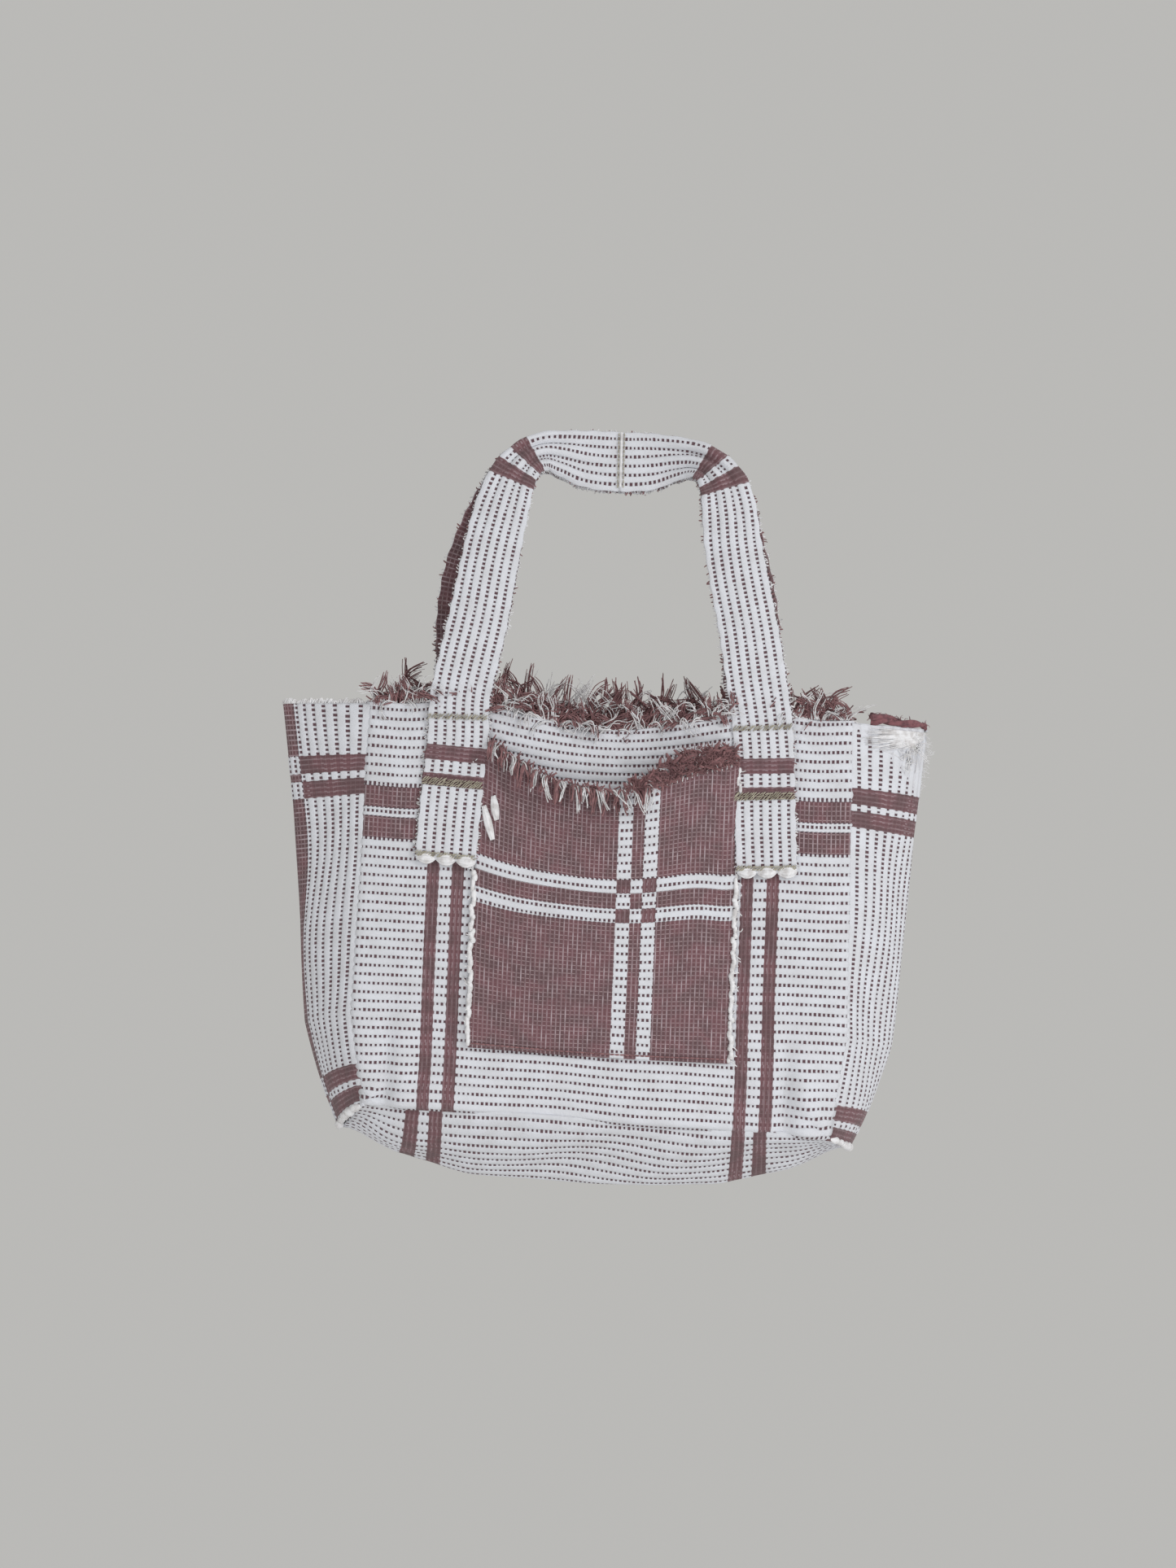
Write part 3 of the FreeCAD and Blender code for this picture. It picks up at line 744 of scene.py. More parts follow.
def sewn_line(name, node, places, radius, stitch, material):
    """A row of stitches along a list of places: each a short thread that dips at its ends."""
    places = np.asarray(places)
    steps = np.linalg.norm(np.diff(places, axis=0), axis=1)
    length = np.concatenate([[0], np.cumsum(steps)])
    lines = []
    start = 0.0
    while start + stitch < length[-1]:
        at = [np.interp(start + stitch * k, length, places[:, i])
              for k in (0.0, 0.3, 0.6, 0.9) for i in range(3)]
        points = np.array(at).reshape(4, 3)
        lines.append((sized(points, (0.6, 1.1, 1.1, 0.6)), radius, 0))
        start += stitch
    piece = strands(name, lines, [material])
    fasten(piece, node)


SEAM_THREAD = 0.55 * MM
SEAM_STITCH = 3.4 * MM
for facing, face in FACES:
    for side, name in SIDES:
        drop = np.linspace(2 * MM, PANEL_HEIGHT - 3 * MM, 60)
        x = panel_half(drop) + 0.2 * MM
        rise = base_rise(side * x, drop)
        line = np.stack(
            [side * x, facing * (half_depth(drop) - 2.9 * MM), RIM_Z - drop + rise], -1)
        sewn_line(f"{face}_{name}_seam_thread", f"{face}_{name}_seam", line, SEAM_THREAD,
                  SEAM_STITCH, white_yarn)
    x = np.linspace(-139 * MM, 139 * MM, 60)
    line = np.stack([x, np.full(60, facing * (HALF_DEPTH[1] - 3.0 * MM)),
                     RIM_Z - PANEL_HEIGHT - 0.4 * MM + base_rise(x)], -1)
    sewn_line(f"{face}_bottom_seam_thread", f"{face}_bottom_seam", line, SEAM_THREAD,
              SEAM_STITCH, white_yarn)
for side, name in SIDES:
    lumps = []
    share = np.linspace(-0.97, 0.97, 13)
    for start, end in zip(share[:-1], share[1:]):
        places = gusset_face(np.linspace(start, end + 0.05, 4), np.full(4, PANEL_HEIGHT), side)
        grow = uniform(2.0, 3.2) * MM
        places[:, 0] += side * 0.8 * MM
        places[:, 2] -= uniform(-0.4, 0.9) * MM
        lumps.append((sized(places, (0.5, 1.1, 1.0, 0.4)), grow, 0))
    corner = strands(f"{name}_corner_seam_lumps", lumps, [white_yarn], sides=3, smooth=4)
    fasten(corner, f"{name}_corner_seam")

# ---- Patch pocket ----
# An open pocket on the front, cut from the same cloth and sewn on with its brown face out. Its
# mouth sags in the middle and gapes; its raw sides are bound with lumpy white yarn.
POCKET_TOP = 16 * MM
POCKET_FOOT = 208 * MM
POCKET_HALF = 78.5 * MM
POCKET_SAG = 25 * MM
POCKET_GAPE = 13 * MM
POCKET_COLUMNS = ((11 * MM, 8.5 * MM), (26.5 * MM, 8.5 * MM))
POCKET_ROWS = ((-91.5 * MM, 9.5 * MM), (-111.5 * MM, 9.5 * MM))


def pocket_mouth(share):
    """How far below the rim the mouth hangs; it sags in the middle and towards the right."""
    return (POCKET_TOP + POCKET_SAG * (1 - np.abs(share) ** 2.2)
            + 10 * MM * bump_at(share, 1.0, 0.22))


def pocket_face(share, depth):
    """share runs -1 to 1 across, depth 0 at the mouth to 1 at the foot."""
    x = share * POCKET_HALF
    mouth = pocket_mouth(share)
    drop = mouth + (POCKET_FOOT - mouth) * depth
    base = panel_face(x, drop, -1)
    gape = POCKET_GAPE * (1 - depth) ** 1.5 * np.clip(1 - share**2, 0, None) ** 1.2
    pulls = 1.1 * MM * np.sin(x / 0.013 + 3 * depth) * (1 - depth) * (1 - share**2)
    edge = np.minimum(1 - np.abs(share), 1 - depth) * POCKET_HALF
    lift = CLOTH + 0.5 * MM - 0.7 * MM * np.exp(-edge / (3 * MM))
    base[..., 1] -= lift + gape + pulls
    return base


pocket_brown = cotton("pocket_outer_face", True, POCKET_COLUMNS, POCKET_ROWS)
pocket_white = cotton("pocket_inner_face", False, POCKET_COLUMNS, POCKET_ROWS)
depth, share = grid((0, 1), (-1, 1), 170, 96)
x = share * POCKET_HALF
rows_place = -(POCKET_TOP + 10 * MM * (1 - np.abs(share) ** 2) * (1 - depth)
               + (POCKET_FOOT - POCKET_TOP) * depth)
pocket = weave_mesh("front_pocket_cloth", pocket_face(share, depth), x, rows_place,
                    (pocket_brown, pocket_white), POCKET_COLUMNS, POCKET_ROWS,
                    brown=True, phase=4.2)
fasten(pocket, "front_pocket")

for side, name in SIDES:
    lumps = []
    place = 0.03
    while place < 0.98:
        length = uniform(0.014, 0.030)
        at = np.linspace(place, place + length, 3)
        points = pocket_face(np.full(3, side * (1 + uniform(-0.002, 0.014))), at)
        open_part = 1.0 if points[0, 2] < RIM_Z - 95 * MM else 0.0
        points[:, 1] -= (uniform(0.4, 1.2) + 1.0 * open_part) * MM
        points[:, 0] += side * uniform(-0.6, 0.6) * MM
        grow = (uniform(0.8, 1.4) + uniform(0.4, 1.0) * open_part) * MM
        lumps.append((sized(points, (0.5, 1.2, 0.5)), grow, 0))
        if random.random() < 0.35:
            wisp = [(*points[1], 1.0)]
            for _ in range(3):
                x0, y0, z0, _s = wisp[-1]
                wisp.append((x0 + side * uniform(0.3, 2.0) * MM,
                             y0 - uniform(0, 0.8) * MM,
                             z0 + uniform(-2.0, 2.0) * MM, 0.7))
            lumps.append((wisp, 0.45 * MM, 0))
        place += length * 0.62
    binding = strands(f"pocket_{name}_binding", lumps, [white_yarn], sides=2)
    fasten(binding, f"pocket_{name}_edging")

foot = pocket_face(np.linspace(-0.98, 0.98, 80), np.full(80, 0.985))
foot[:, 1] -= 1.7 * MM
sewn_line("pocket_bottom_thread", "pocket_bottom_stitching", foot, 0.5 * MM, 3.0 * MM,
          brown_yarn)

# ---- Darn ----
# A small hand repair at the pocket's upper left: two puffy slanting white stitches.
darn_lines = []
for start, end in (((-0.955, 0.215), (-0.875, 0.305)), ((-0.885, 0.165), (-0.850, 0.235))):
    share = np.linspace(start[0], end[0], 5)
    depth = np.linspace(start[1], end[1], 5)
    points = pocket_face(share, depth)
    points[:, 1] -= 2.2 * MM
    for shift in (-0.9, 0.0, 0.9):
        moved = points + np.array((shift, 0.3 * abs(shift), 0.4 * shift)) * MM
        darn_lines.append((sized(moved, (0.3, 0.9, 1.15, 0.9, 0.3)), 1.5 * MM, 0))
darn = strands("pocket_darn_yarn", darn_lines, [white_yarn], sides=2, smooth=4)
fasten(darn, "pocket_darn")

# ---- Strap handles ----
# Each handle is two lengths of the ribbed cloth with raw, fuzzy edges, sewn flat on the panel,
# rising past the rim and gathered over the hanger's shoulders to meet in the middle of the
# grip. The grip lies a little behind the legs, as it does when a hanger passes through.
STRAP_HALF = 18.5 * MM
END_LENGTH = 92 * MM
STRAP_COLUMNS = ((-27 * MM, 9.5 * MM), (-43.5 * MM, 7.5 * MM),
                 (151 * MM, 9 * MM), (167 * MM, 9 * MM))
STRAP_THICKNESS = 2.2 * MM
STRAP_GRID = (190, 56)
# From the rim up (mm): distance out from the middle, rise over the rim, half width, and how
# much the cloth is pleated
LEG_STATIONS = {
    "left": ((92.4, 6, 18.5, 0), (88, 32, 18.3, 0), (83.2, 59, 18, 0), (79.2, 86, 17.6, 0),
             (75.5, 110, 17, 0), (71.5, 130, 16, 0.2), (66.5, 146, 14, 0.5),
             (58.5, 158, 11.5, 0.9), (48, 164, 11.5, 1), (36, 164, 14, 0.7),
             (22, 162, 17.5, 0.3), (8, 161, 18.5, 0.05), (0, 161, 18.5, 0)),
    "right": ((91, 6, 18.5, 0), (86.5, 32, 18.5, 0), (81.4, 59, 18, 0), (75.5, 86, 17.8, 0),
              (70.5, 110, 17.2, 0), (67.5, 130, 16.5, 0.2), (63.5, 146, 14.5, 0.5),
              (55, 158, 11.5, 0.9), (45, 163, 11.5, 1), (33, 163.5, 14, 0.7),
              (20, 162, 17.5, 0.3), (8, 161, 18.5, 0.05), (0, 161, 18.5, 0)),
}
STEP_BACK = {
    "front": (-22.4, -20.0, -17.4, -15.0, -13.2, -11.8, -10.0, -5.0, 0.5, 4.0, 6.0, 6.0, 6.0),
    "back": (22.4, 16.5, 10.2, 5.0, 0.5, -2.6, -3.2, 1.6, 7.0, 10.5, 12.5, 12.5, 12.5),
}
SPREAD_BACK = {"left": 12.0, "right": 5.5}


def smooth_through(stations, count):
    """Evenly spaced places on a smooth line through the stations, and their lengths."""
    stations = np.asarray(stations, float)
    ends = np.concatenate([[2 * stations[0] - stations[1]], stations,
                           [2 * stations[-1] - stations[-2]]])
    pieces = []
    for k in range(len(stations) - 1):
        p0, p1, p2, p3 = ends[k:k + 4]
        t = np.linspace(0, 1, 24, endpoint=False)[:, None]
        pieces.append(0.5 * (2 * p1 + (p2 - p0) * t + (2 * p0 - 5 * p1 + 4 * p2 - p3) * t**2
                             + (3 * p1 - p0 - 3 * p2 + p3) * t**3))
    line = np.concatenate([*pieces, stations[-1:]])
    length = np.concatenate([[0], np.cumsum(np.linalg.norm(np.diff(line[:, :3], axis=0),
                                                           axis=1))])
    even = np.linspace(0, length[-1], count)
    return np.stack([np.interp(even, length, line[:, i]) for i in range(line.shape[1])],
                    -1), even


def strap_stations(face, name):
    """(x, y, z, half width, pleating) from the sewn end up to the join, in metres."""
    side = -1 if name == "left" else 1
    facing = -1 if face == "front" else 1
    stations = []
    for drop in (END_LENGTH, 75 * MM, 55 * MM, 35 * MM, 15 * MM):
        x = side * (92 * MM + 5 * MM * drop / END_LENGTH)
        y = panel_face(np.array(x), np.array(drop), facing)[1] + facing * 3.4 * MM
        stations.append((x, y, RIM_Z - drop, STRAP_HALF, 0))
    for (out, rise, half, pleat), back in zip(LEG_STATIONS[name], STEP_BACK[face]):
        if face == "back":
            out += SPREAD_BACK[name] * math.sin(math.pi * min(1, rise / 150)) ** 1.5
        stations.append((side * out * MM, back * MM, RIM_Z + rise * MM, half * MM, pleat))
    return stations


def strap_points(face, name):
    line, length = smooth_through(strap_stations(face, name), STRAP_GRID[0])
    line, length = line[::-1], length[::-1] - END_LENGTH
    facing = -1 if face == "front" else 1
    outward = np.array((0, facing, 0))
    down = np.gradient(line[:, :3], axis=0)
    down[:, 1] *= 0.3
    right = np.cross(outward, down)
    right /= np.linalg.norm(right, axis=1, keepdims=True)
    kernel = np.hanning(9)
    kernel /= kernel.sum()
    for i in range(3):
        right[:, i] = np.convolve(np.pad(right[:, i], 4, mode="edge"), kernel, "valid")
    share = np.linspace(-1, 1, STRAP_GRID[1])
    half, pleat = line[:, 3:4], line[:, 4:5]
    frayed = 0.35 * MM * np.sin(length[:, None] / 0.0021) * np.abs(share) ** 12
    points = line[:, None, :3] + right[:, None, :] * (half * share + frayed)[..., None]
    side = -1 if name == "left" else 1
    ripple = pleat * 1.7 * MM * np.cos(5.2 * np.pi * share / 2 + 0.6)
    cupped = 1.6 * MM * (share**2) * np.clip((length[:, None] - 5 * MM) / 0.05, 0, 1)
    twist = 1.5 * MM * share * np.sin(length[:, None] / 0.03 + side)
    twist *= np.clip(length[:, None] / 0.04, 0, 1) * (1 - pleat)
    points[..., 1] += facing * ripple - facing * cupped * (1 - pleat) + 0.5 * twist
    return points, length[:, None] + 0 * share, share * STRAP_HALF + 0 * length[:, None]


strap_outer = cotton("strap_outer_face", False, STRAP_COLUMNS, ())
strap_inner = cotton("strap_inner_face", True, STRAP_COLUMNS, ())


def edge_fuzz(points, chance):
    """Short ends of yarn standing out of a strap's cut edges."""
    lines = []
    for column, inner in ((0, 2), (-1, -3)):
        for row in range(2, len(points) - 2):
            if random.random() > chance:
                continue
            root = Vector(points[row, inner])
            out = (Vector(points[row, column]) - root).normalized()
            along = Vector(points[row + 1, column] - points[row - 1, column]).normalized()
            root = Vector(points[row, column]) - out * 0.8 * MM
            reach = uniform(1.3, 3.0) * MM
            bend = along * uniform(-1.6, 1.6) * MM
            tip = Vector((0, uniform(-0.6, 0.6) * MM, 0))
            lines.append(([(*root, 1.0), (*(root + out * reach * 0.7 + bend * 0.3), 0.9),
                           (*(root + out * reach + bend + tip), 0.5)],
                          uniform(0.4, 0.7) * MM, int(random.random() < 0.22)))
    return lines


for facing, face in FACES:
    for name in ("left", "right"):
        points, along, across = strap_points(face, name)
        strap = weave_mesh(f"{face}_{name}_strap_cloth", points, along, across,
                           (strap_outer, strap_inner), STRAP_COLUMNS, (), phase=1.1 + facing,
                           thickness=STRAP_THICKNESS)
        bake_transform(strap)
        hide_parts(f"{face}_{name}_strap", f"{face}_{name}_strap_end")
        fuzz = strands(f"{face}_{name}_strap_fuzz", edge_fuzz(points, 0.85),
                       [white_yarn, brown_yarn], sides=0, smooth=2)
        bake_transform(fuzz)

# ---- Strap stitching ----
# Khaki thread holds each strap end: a fine row at the rim, a thick one over the second brown
# band and one at the foot, where the cut ribs are drawn up into three puffy white knots.


def across_strap(points, length, at, lift, facing):
    """Places over a strap's outer face along a line across it, at a length from the rim."""
    row = int(np.argmin(np.abs(length[:, 0] - at)))
    line = points[row].copy()
    line[:, 1] += facing * lift
    return line


for facing, face in FACES:
    for name in ("left", "right"):
        points, length, _across = strap_points(face, name)
        lines = []
        for at, count, lean, radius, layers in (
            (-3.5 * MM, 18, 1.3 * MM, 0.36 * MM, 2),
            (-44.5 * MM, 22, 1.2 * MM, 0.40 * MM, 3),
            (-88.5 * MM, 20, 1.0 * MM, 0.42 * MM, 2),
        ):
            for layer in range(layers):
                line = across_strap(points, length, at, 2.1 * MM, facing)
                shift = (layer - (layers - 1) / 2) * 1.5 * MM
                for k in range(count):
                    share = (k + uniform(0.1, 0.5)) / count * (STRAP_GRID[1] - 2)
                    start = line[int(share)]
                    end = line[min(STRAP_GRID[1] - 1, int(share) + 3)]
                    up = uniform(0.3, 1.0) * lean
                    middle = (start + end) / 2 + np.array((0, facing * 0.5 * MM, shift))
                    lines.append((
                        [(start[0], start[1], start[2] + shift - up, 0.7), (*middle, 1.1),
                         (end[0], end[1], end[2] + shift + up, 0.7)], radius, 0))
        foot = across_strap(points, length, -91 * MM, 0.4 * MM, facing)
        for k, (start, end, grow) in enumerate(((1, 19, 2.3), (19, 37, 2.6), (37, 55, 2.8))):
            for strand in range(4):
                a, b = foot[start], foot[end]
                puff = 0.5 + 1.5 * math.sin(math.pi * (strand + 0.5) / 4)
                dip = np.array((0, facing * puff, -3.6 + 1.5 * strand)) * MM
                places = [a * (1 - t) + b * t + dip * math.sin(math.pi * (0.1 + 0.8 * t))
                          for t in (0.06, 0.3, 0.55, 0.8, 0.96)]
                lines.append((sized(places, (0.35, 0.95, 1.1, 0.95, 0.4)), 0.54 * grow * MM, 1))
        stitches = strands(f"{face}_{name}_strap_thread", lines, [khaki_thread, white_yarn],
                           sides=1, smooth=2)
        fasten(stitches, f"{face}_{name}_strap_stitching")
    # The join in the middle of the grip: two rows of thread down a turned-in ridge
    left, _length, _across = strap_points(face, "left")
    lines = []
    ridge = left[0].copy()
    for shift in (-1.7, 1.7):
        for k in range(1, 53, 4):
            a, b = ridge[k].copy(), ridge[k + 3].copy()
            a += np.array((shift * MM, facing * 2.0 * MM, 0))
            b += np.array((shift * MM, facing * 2.0 * MM, 0))
            middle = (a + b) / 2 + np.array((0, facing * 0.6 * MM, 0))
            lines.append(([(*a, 0.7), (*middle, 1.0), (*b, 0.7)], 0.45 * MM, 0))
    bead = ridge[::6] + np.array((0, facing * 1.2 * MM, 0))
    lines.append((tapered(bead, 0), 1.1 * MM, 1))
    join = strands(f"{face}_handle_join_thread", lines, [khaki_thread, white_yarn])
    fasten(join, f"{face}_handle_join", f"{face}_handle")

# ---- Rim fringes ----
# The panels' top edges are raw. The brown yarn ends are matted at the root and twisted into
# locks that lean over each other, with clusters of finer, curlier white ends among them and a
# row of tiny white ticks along the cloth's edge.


def trailing(root, heading, reach, bend, droop, wild, steps=5):
    """The places along a yarn end that turns by bend, and sinks with its own weight."""
    places = [root.copy()]
    axis = Vector((gauss(0, wild), 1, gauss(0, wild)))
    heading = heading.normalized()
    for _step in range(steps):
        heading = Quaternion(axis, bend / steps + gauss(0, wild)) @ heading
        heading.z -= droop / steps
        heading.normalize()
        places.append(places[-1] + heading * reach / steps)
    return places


def lock(root, heading, reach, spread, count, radius, which, bend, droop, taper, loose):
    """Several yarn ends that follow one path; taper draws them to a tip, or fans them out."""
    spine = trailing(root, heading, reach, bend, droop, 0.2)
    lines = []
    for _yarn in range(count):
        offset = Vector((uniform(-spread, spread), uniform(-0.6, 0.6) * spread, 0))
        wander = Vector([uniform(-loose, loose) for _axis in range(3)])
        swirl = Vector([uniform(-loose, loose) for _axis in range(3)])
        cut = uniform(0.72, 1.0)
        points = []
        for k, place in enumerate(spine):
            t = k / (len(spine) - 1)
            moved = root.lerp(place, cut) + offset * (1 - taper * t) + wander * t
            moved += swirl * math.sin(math.pi * 2 * t)
            points.append((*moved, 1 - 0.45 * t))
        lines.append((points, radius * uniform(0.85, 1.15), which))
    return lines


def matted(root, reach, radius, which):
    """One short yarn end in the matted part, pointing anyhow but mostly up."""
    heading = Vector((uniform(-1.3, 1.3), uniform(-0.7, 0.7), 0.9))
    places = trailing(root, heading, reach, uniform(-1.8, 1.8), 0.3, 0.35, 4)
    return tapered(places, 0.12), radius, which


FRINGE_HALF = 147
RIM_TICKS = 150


def rim_fringe(facing, tallness):
    def edge(x, rise=0.0, out=0.0):
        place = panel_face(np.array(x), np.array(0.0), facing)
        return Vector(place) + Vector((0, facing * (out - 0.4 * MM), rise))

    lines = []
    for k in range(RIM_TICKS):
        x = -FRINGE_HALF * MM + 2 * FRINGE_HALF * MM * k / (RIM_TICKS - 1)
        foot = edge(x, -0.8 * MM, 1.4 * MM)
        tip = foot + Vector((uniform(-0.3, 0.3), 0, uniform(2.2, 3.0))) * MM
        lines.append(([(*foot, 1), (*((foot + tip) / 2), 1), (*tip, 0.7)], 0.42 * MM, 1))
    tangle, stretch = (420, 1.0) if facing < 0 else (640, 1.45)
    for _k in range(tangle):
        x = uniform(-FRINGE_HALF, FRINGE_HALF) * MM
        reach = uniform(7, 14) * stretch * MM
        lines.append(matted(edge(x, -0.5 * MM, -0.5 * MM), reach,
                            uniform(0.5, 0.85) * MM, int(random.random() < 0.12)))
    for which, count, strands_each, spread, radius in ((0, 84, 9, 2.7, 0.46),
                                                       (1, 84, 4, 1.8, 0.42)):
        for k in range(count):
            x = (-145 + 290 * (k + uniform(0.1, 0.9)) / count) * MM
            beside = bump_at(abs(x), 92 * MM, 17 * MM)
            tall = tallness(x) * (1 - 0.30 * beside) * uniform(0.72, 1.08)
            lean = facing * ((0.38 if facing < 0 else 0.0) - 0.8 * beside)
            heading = Vector((gauss(0.1, 0.45), lean, 1))
            bend = gauss(0.3, 1.1) if which == 0 else gauss(0, 2.0)
            out = (-1.4 * beside + (1.6 * (1 - beside) if which else 0.0)) * MM
            lines += lock(edge(x, 0.5 * MM, out), heading, tall, spread * MM, strands_each,
                          radius * MM, which, bend, uniform(0.1, 1.2),
                          uniform(0.3, 0.85) if which == 0 else uniform(-0.8, 0.5),
                          (1.3 if which == 0 else 1.8) * MM)
    return lines


for side, facing, low, high in (("front", -1, 23, 20), ("back", 1, 36, 29)):
    def tallness(x):
        return (low + (high - low) * (x / (2 * FRINGE_HALF * MM) + 0.5)) * MM

    fringe = strands(f"{side}_rim_fringe_yarn", rim_fringe(facing, tallness),
                     [brown_yarn, white_yarn], sides=0, smooth=2)
    fasten(fringe, f"{side}_rim_fringe")

# ---- Pocket fringe ----
# The same raw yarn ends at the pocket mouth. On the left they curl over and hang down the
# front; on the right they are matted into a soft brown tuft that stands up.


def mouth_edge(share, rise=0.0, out=0.0):
    place = pocket_face(np.array(share), np.array(0.0))
    return Vector(place) + Vector((0, -out, rise))


lines = []
for k in range(52):
    foot = mouth_edge(-0.98 + 1.96 * k / 51, -2.2 * MM, 1.5 * MM)
    tip = foot + Vector((uniform(-0.4, 0.4), 0, uniform(2.4, 3.6))) * MM
    lines.append(([(*foot, 0.8), (*((foot + tip) / 2), 1), (*tip, 0.8)], 0.45 * MM, 1))
for _k in range(130):
    share = uniform(-0.98, 0.98)
    lines.append(matted(mouth_edge(share, -0.5 * MM, 0.4 * MM), uniform(4, 7) * MM,
                        uniform(0.55, 0.8) * MM, 0))
for which, count, strands_each, spread, radius in ((0, 21, 6, 2.3, 0.66), (1, 25, 3, 1.2, 0.5)):
    for k in range(count):
        share = -0.95 + 1.3 * (k + uniform(0.1, 0.9)) / count
        heading = Vector((gauss(0.2, 0.4), -0.85, uniform(0.25, 0.9)))
        bend = gauss(0, 0.5) if which == 0 else gauss(0, 1.5)
        lines += lock(mouth_edge(share, 0.5 * MM, 0.6 * MM), heading,
                      uniform(13, 21) * MM, spread * MM, strands_each, radius * MM, which,
                      bend, uniform(3.2, 4.6), 0.6 if which == 0 else 0.2, 0.9 * MM)
for k in range(1250):
    share = uniform(0.17, 0.97)
    swell = math.sin(math.pi * (share - 0.12) / 0.90) ** 0.4 * min(1, 0.35 + 2.0 * (share - 0.15))
    core = k < 120
    high = uniform(-0.5, (12.5 if core else 15.0) * swell)
    out = uniform(-1, 1.2) if core else uniform(0.2, 3.0) * (1.1 - high / 20)
    heading = Vector((uniform(-1, 1), uniform(-0.4, 0.1), uniform(-0.2, 0.8)))
    reach = (uniform(5, 9) if core else uniform(3, 6.5)) * MM
    places = trailing(mouth_edge(share, high * MM, out * MM), heading, reach,
                      uniform(-2.4, 2.4), 0.2, 0.4, 4 if core else 3)
    lines.append((tapered(places, 0.15),
                  (1.6 if core else uniform(0.26, 0.42)) * MM, int(k > 1225)))
pocket_fringe = strands("pocket_fringe_yarn", lines, [brown_yarn, white_yarn], sides=0, smooth=2)
fasten(pocket_fringe, "pocket_fringe")

# ---- Side strip rims ----
# On the left the cut ribs end in short white loops. On the right the edge has frayed: a dark
# brown cord of drawn yarns lies along it, over a fan of bared white threads, and loose ends
# stand round the worn holes and out to the side.
lines = []
for k in range(84):
    share = -0.97 + 1.94 * k / 83
    root = Vector(gusset_face(np.array(share), np.array(0.5 * MM), -1))
    lean = Vector((uniform(-1.5, 1.5), uniform(-1, 1), 0)) * MM
    tall = uniform(1.5, 4.2) * MM
    half = Vector((1.1 * MM, 0, 0))
    top = lean + Vector((0, 0, tall))
    loop = (root - half, root - half * 0.6 + top, root + half * 0.6 + top, root + half)
    lines.append((tapered(loop, 0), uniform(0.5, 0.75) * MM, 0))
loops = strands("left_gusset_loops", lines, [white_yarn], sides=1, smooth=2)
fasten(loops, "left_gusset_fringe")

dark_yarn = yarn("dark_brown_yarn", (0.215, 0.088, 0.100), (0.085, 0.036, 0.045))
lines = []


def torn_edge(share, drop, out=0.0):
    """A place on the right strip, share and drop (mm) as on the cloth, out (mm) before it."""
    return Vector(gusset_face(np.array(share), np.array(drop * MM), 1)) - Vector((0, out * MM, 0))


for strand, turn, finish in ((0, 0.0, 0.90), (1, 2.2, 0.90), (2, 4.3, 0.50)):
    places = []
    for t in np.linspace(0, 1, 16):
        thin = 1.15 - 0.55 * t
        angle = turn + 9.5 * t
        place = torn_edge(-0.84 + finish * t, 0.0, 0.8 + 1.3 * thin * math.cos(angle))
        rise = 4.2 - 3.0 * t * finish / 0.90 - (1.2 if strand == 2 else 0.0)
        place.z += (rise + 1.5 * thin * math.sin(angle)) * MM
        places.append((*place, thin))
    lines.append((places, 1.9 * MM, 2))
for k in range(70):
    t = random.random() ** 1.5
    root = torn_edge(-0.84 + 0.88 * t, 0.0, uniform(0, 2))
    root.z += (5.0 - 3.0 * t + uniform(-1.5, 1.0)) * MM
    heading = Vector((uniform(-1, 0.6), uniform(-0.6, 0.2), uniform(-0.2, 1)))
    places = trailing(root, heading, uniform(2.5, 5.0) * MM, uniform(-2, 2), 0.4,
                      0.4, 3)
    lines.append((tapered(places, 0.2), 0.24 * MM, 2))
for k in range(64):
    t = k / 63
    across = -0.93 + 0.42 * random.random()
    places = []
    for step in (0.0, 0.25, 0.5, 0.75, 1.0):
        share = across * (1 - step) + 0.01 * step
        low = (2.2 + 12.5 * t) * (1 - step) ** 1.3 + (2.4 + 3.0 * t) * (1 - (1 - step) ** 1.3)
        place = torn_edge(share, low + uniform(-0.35, 0.35), 2.0 + 0.3 * random.random())
        places.append((*place, min(1.0, 0.25 + 3 * step) * (1.0 - 0.3 * step)))
    lines.append((places, uniform(0.32, 0.48) * MM, 1))
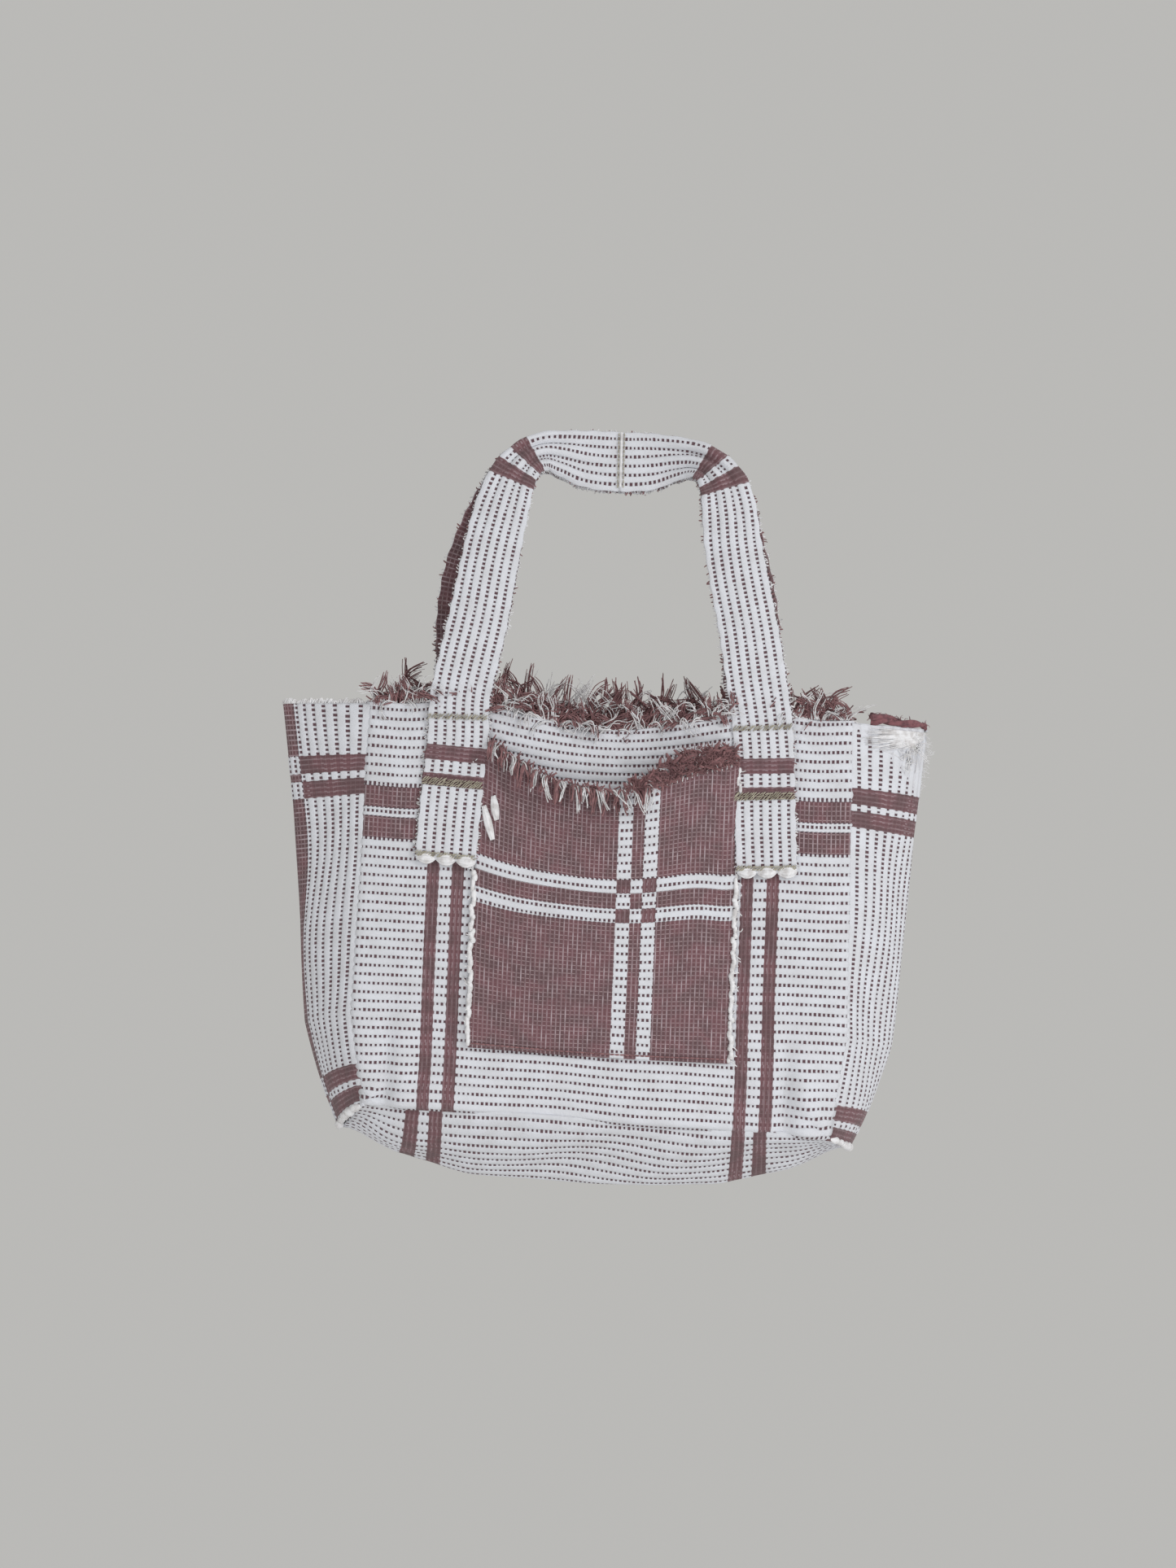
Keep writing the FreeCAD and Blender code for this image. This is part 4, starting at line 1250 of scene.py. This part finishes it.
for centre, depth, wide, count in ((-0.30, 10.0, 3.4, 46), (-0.41, 18.5, 2.1, 30)):
    for k in range(count):
        angle = uniform(0, 2 * math.pi)
        ring = wide * uniform(0.95, 1.25)
        root = torn_edge(centre + ring * math.cos(angle) / 50, depth + ring * math.sin(angle), 1.6)
        lean = angle + random.choice((-1, 1)) * uniform(0.9, 2.0)
        heading = Vector((math.cos(lean), -0.2, -math.sin(lean)))
        places = trailing(root, heading, uniform(3, 6) * MM, uniform(-1.5, 1.5),
                          0.1, 0.15, 4)
        lines.append((tapered(places, 0.12), 0.34 * MM, 1))
for k in range(34):
    root = torn_edge(uniform(-0.55, -0.10), uniform(7, 24), 1.9)
    heading = Vector((uniform(-1, 1), -0.1, uniform(-1, 0.4)))
    places = trailing(root, heading, uniform(6, 14) * MM, uniform(-1, 1), 0.2, 0.1, 4)
    lines.append((tapered(places, 0, 0.9), 0.26 * MM, 1))
for k in range(170):
    root = torn_edge(uniform(-0.10, 0.12), uniform(3, 46))
    heading = Vector((1, uniform(-0.8, 0.8), uniform(-1.1, 0.9)))
    reach = uniform(3, 8) * (1.15 - abs(root.z - RIM_Z + 18 * MM) / (45 * MM))
    places = trailing(root, heading, max(2.0, reach) * MM, uniform(-1.6, 1.6), 0.2, 0.3, 4)
    lines.append((tapered(places, 0.1, 0.9), 0.17 * MM, 1))
frayed = strands("right_gusset_frayed_edge", lines, [brown_yarn, white_yarn, dark_yarn], sides=1,
                 smooth=2)
fasten(frayed, "right_gusset_rolled_edge")

# ---- Floor ----
# A pale round floor, well below the hanging bag.
bpy.ops.mesh.primitive_circle_add(vertices=96, radius=1.3, fill_type="NGON",
                                  location=(0, 0, RIM_Z - 1.36))
floor = bpy.context.active_object
floor.name = "pale_floor"
floor_paint, floor_tree = new_material("pale_floor_paint")
floor_shader = floor_tree.nodes["Principled BSDF"]
floor_shader.inputs["Base Color"].default_value = (0.62, 0.615, 0.60, 1)
floor_shader.inputs["Roughness"].default_value = 0.9
floor.data.materials.append(floor_paint)
floor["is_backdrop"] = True

# ---- Sizes ----
bpy.context.view_layer.update()
low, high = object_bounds()
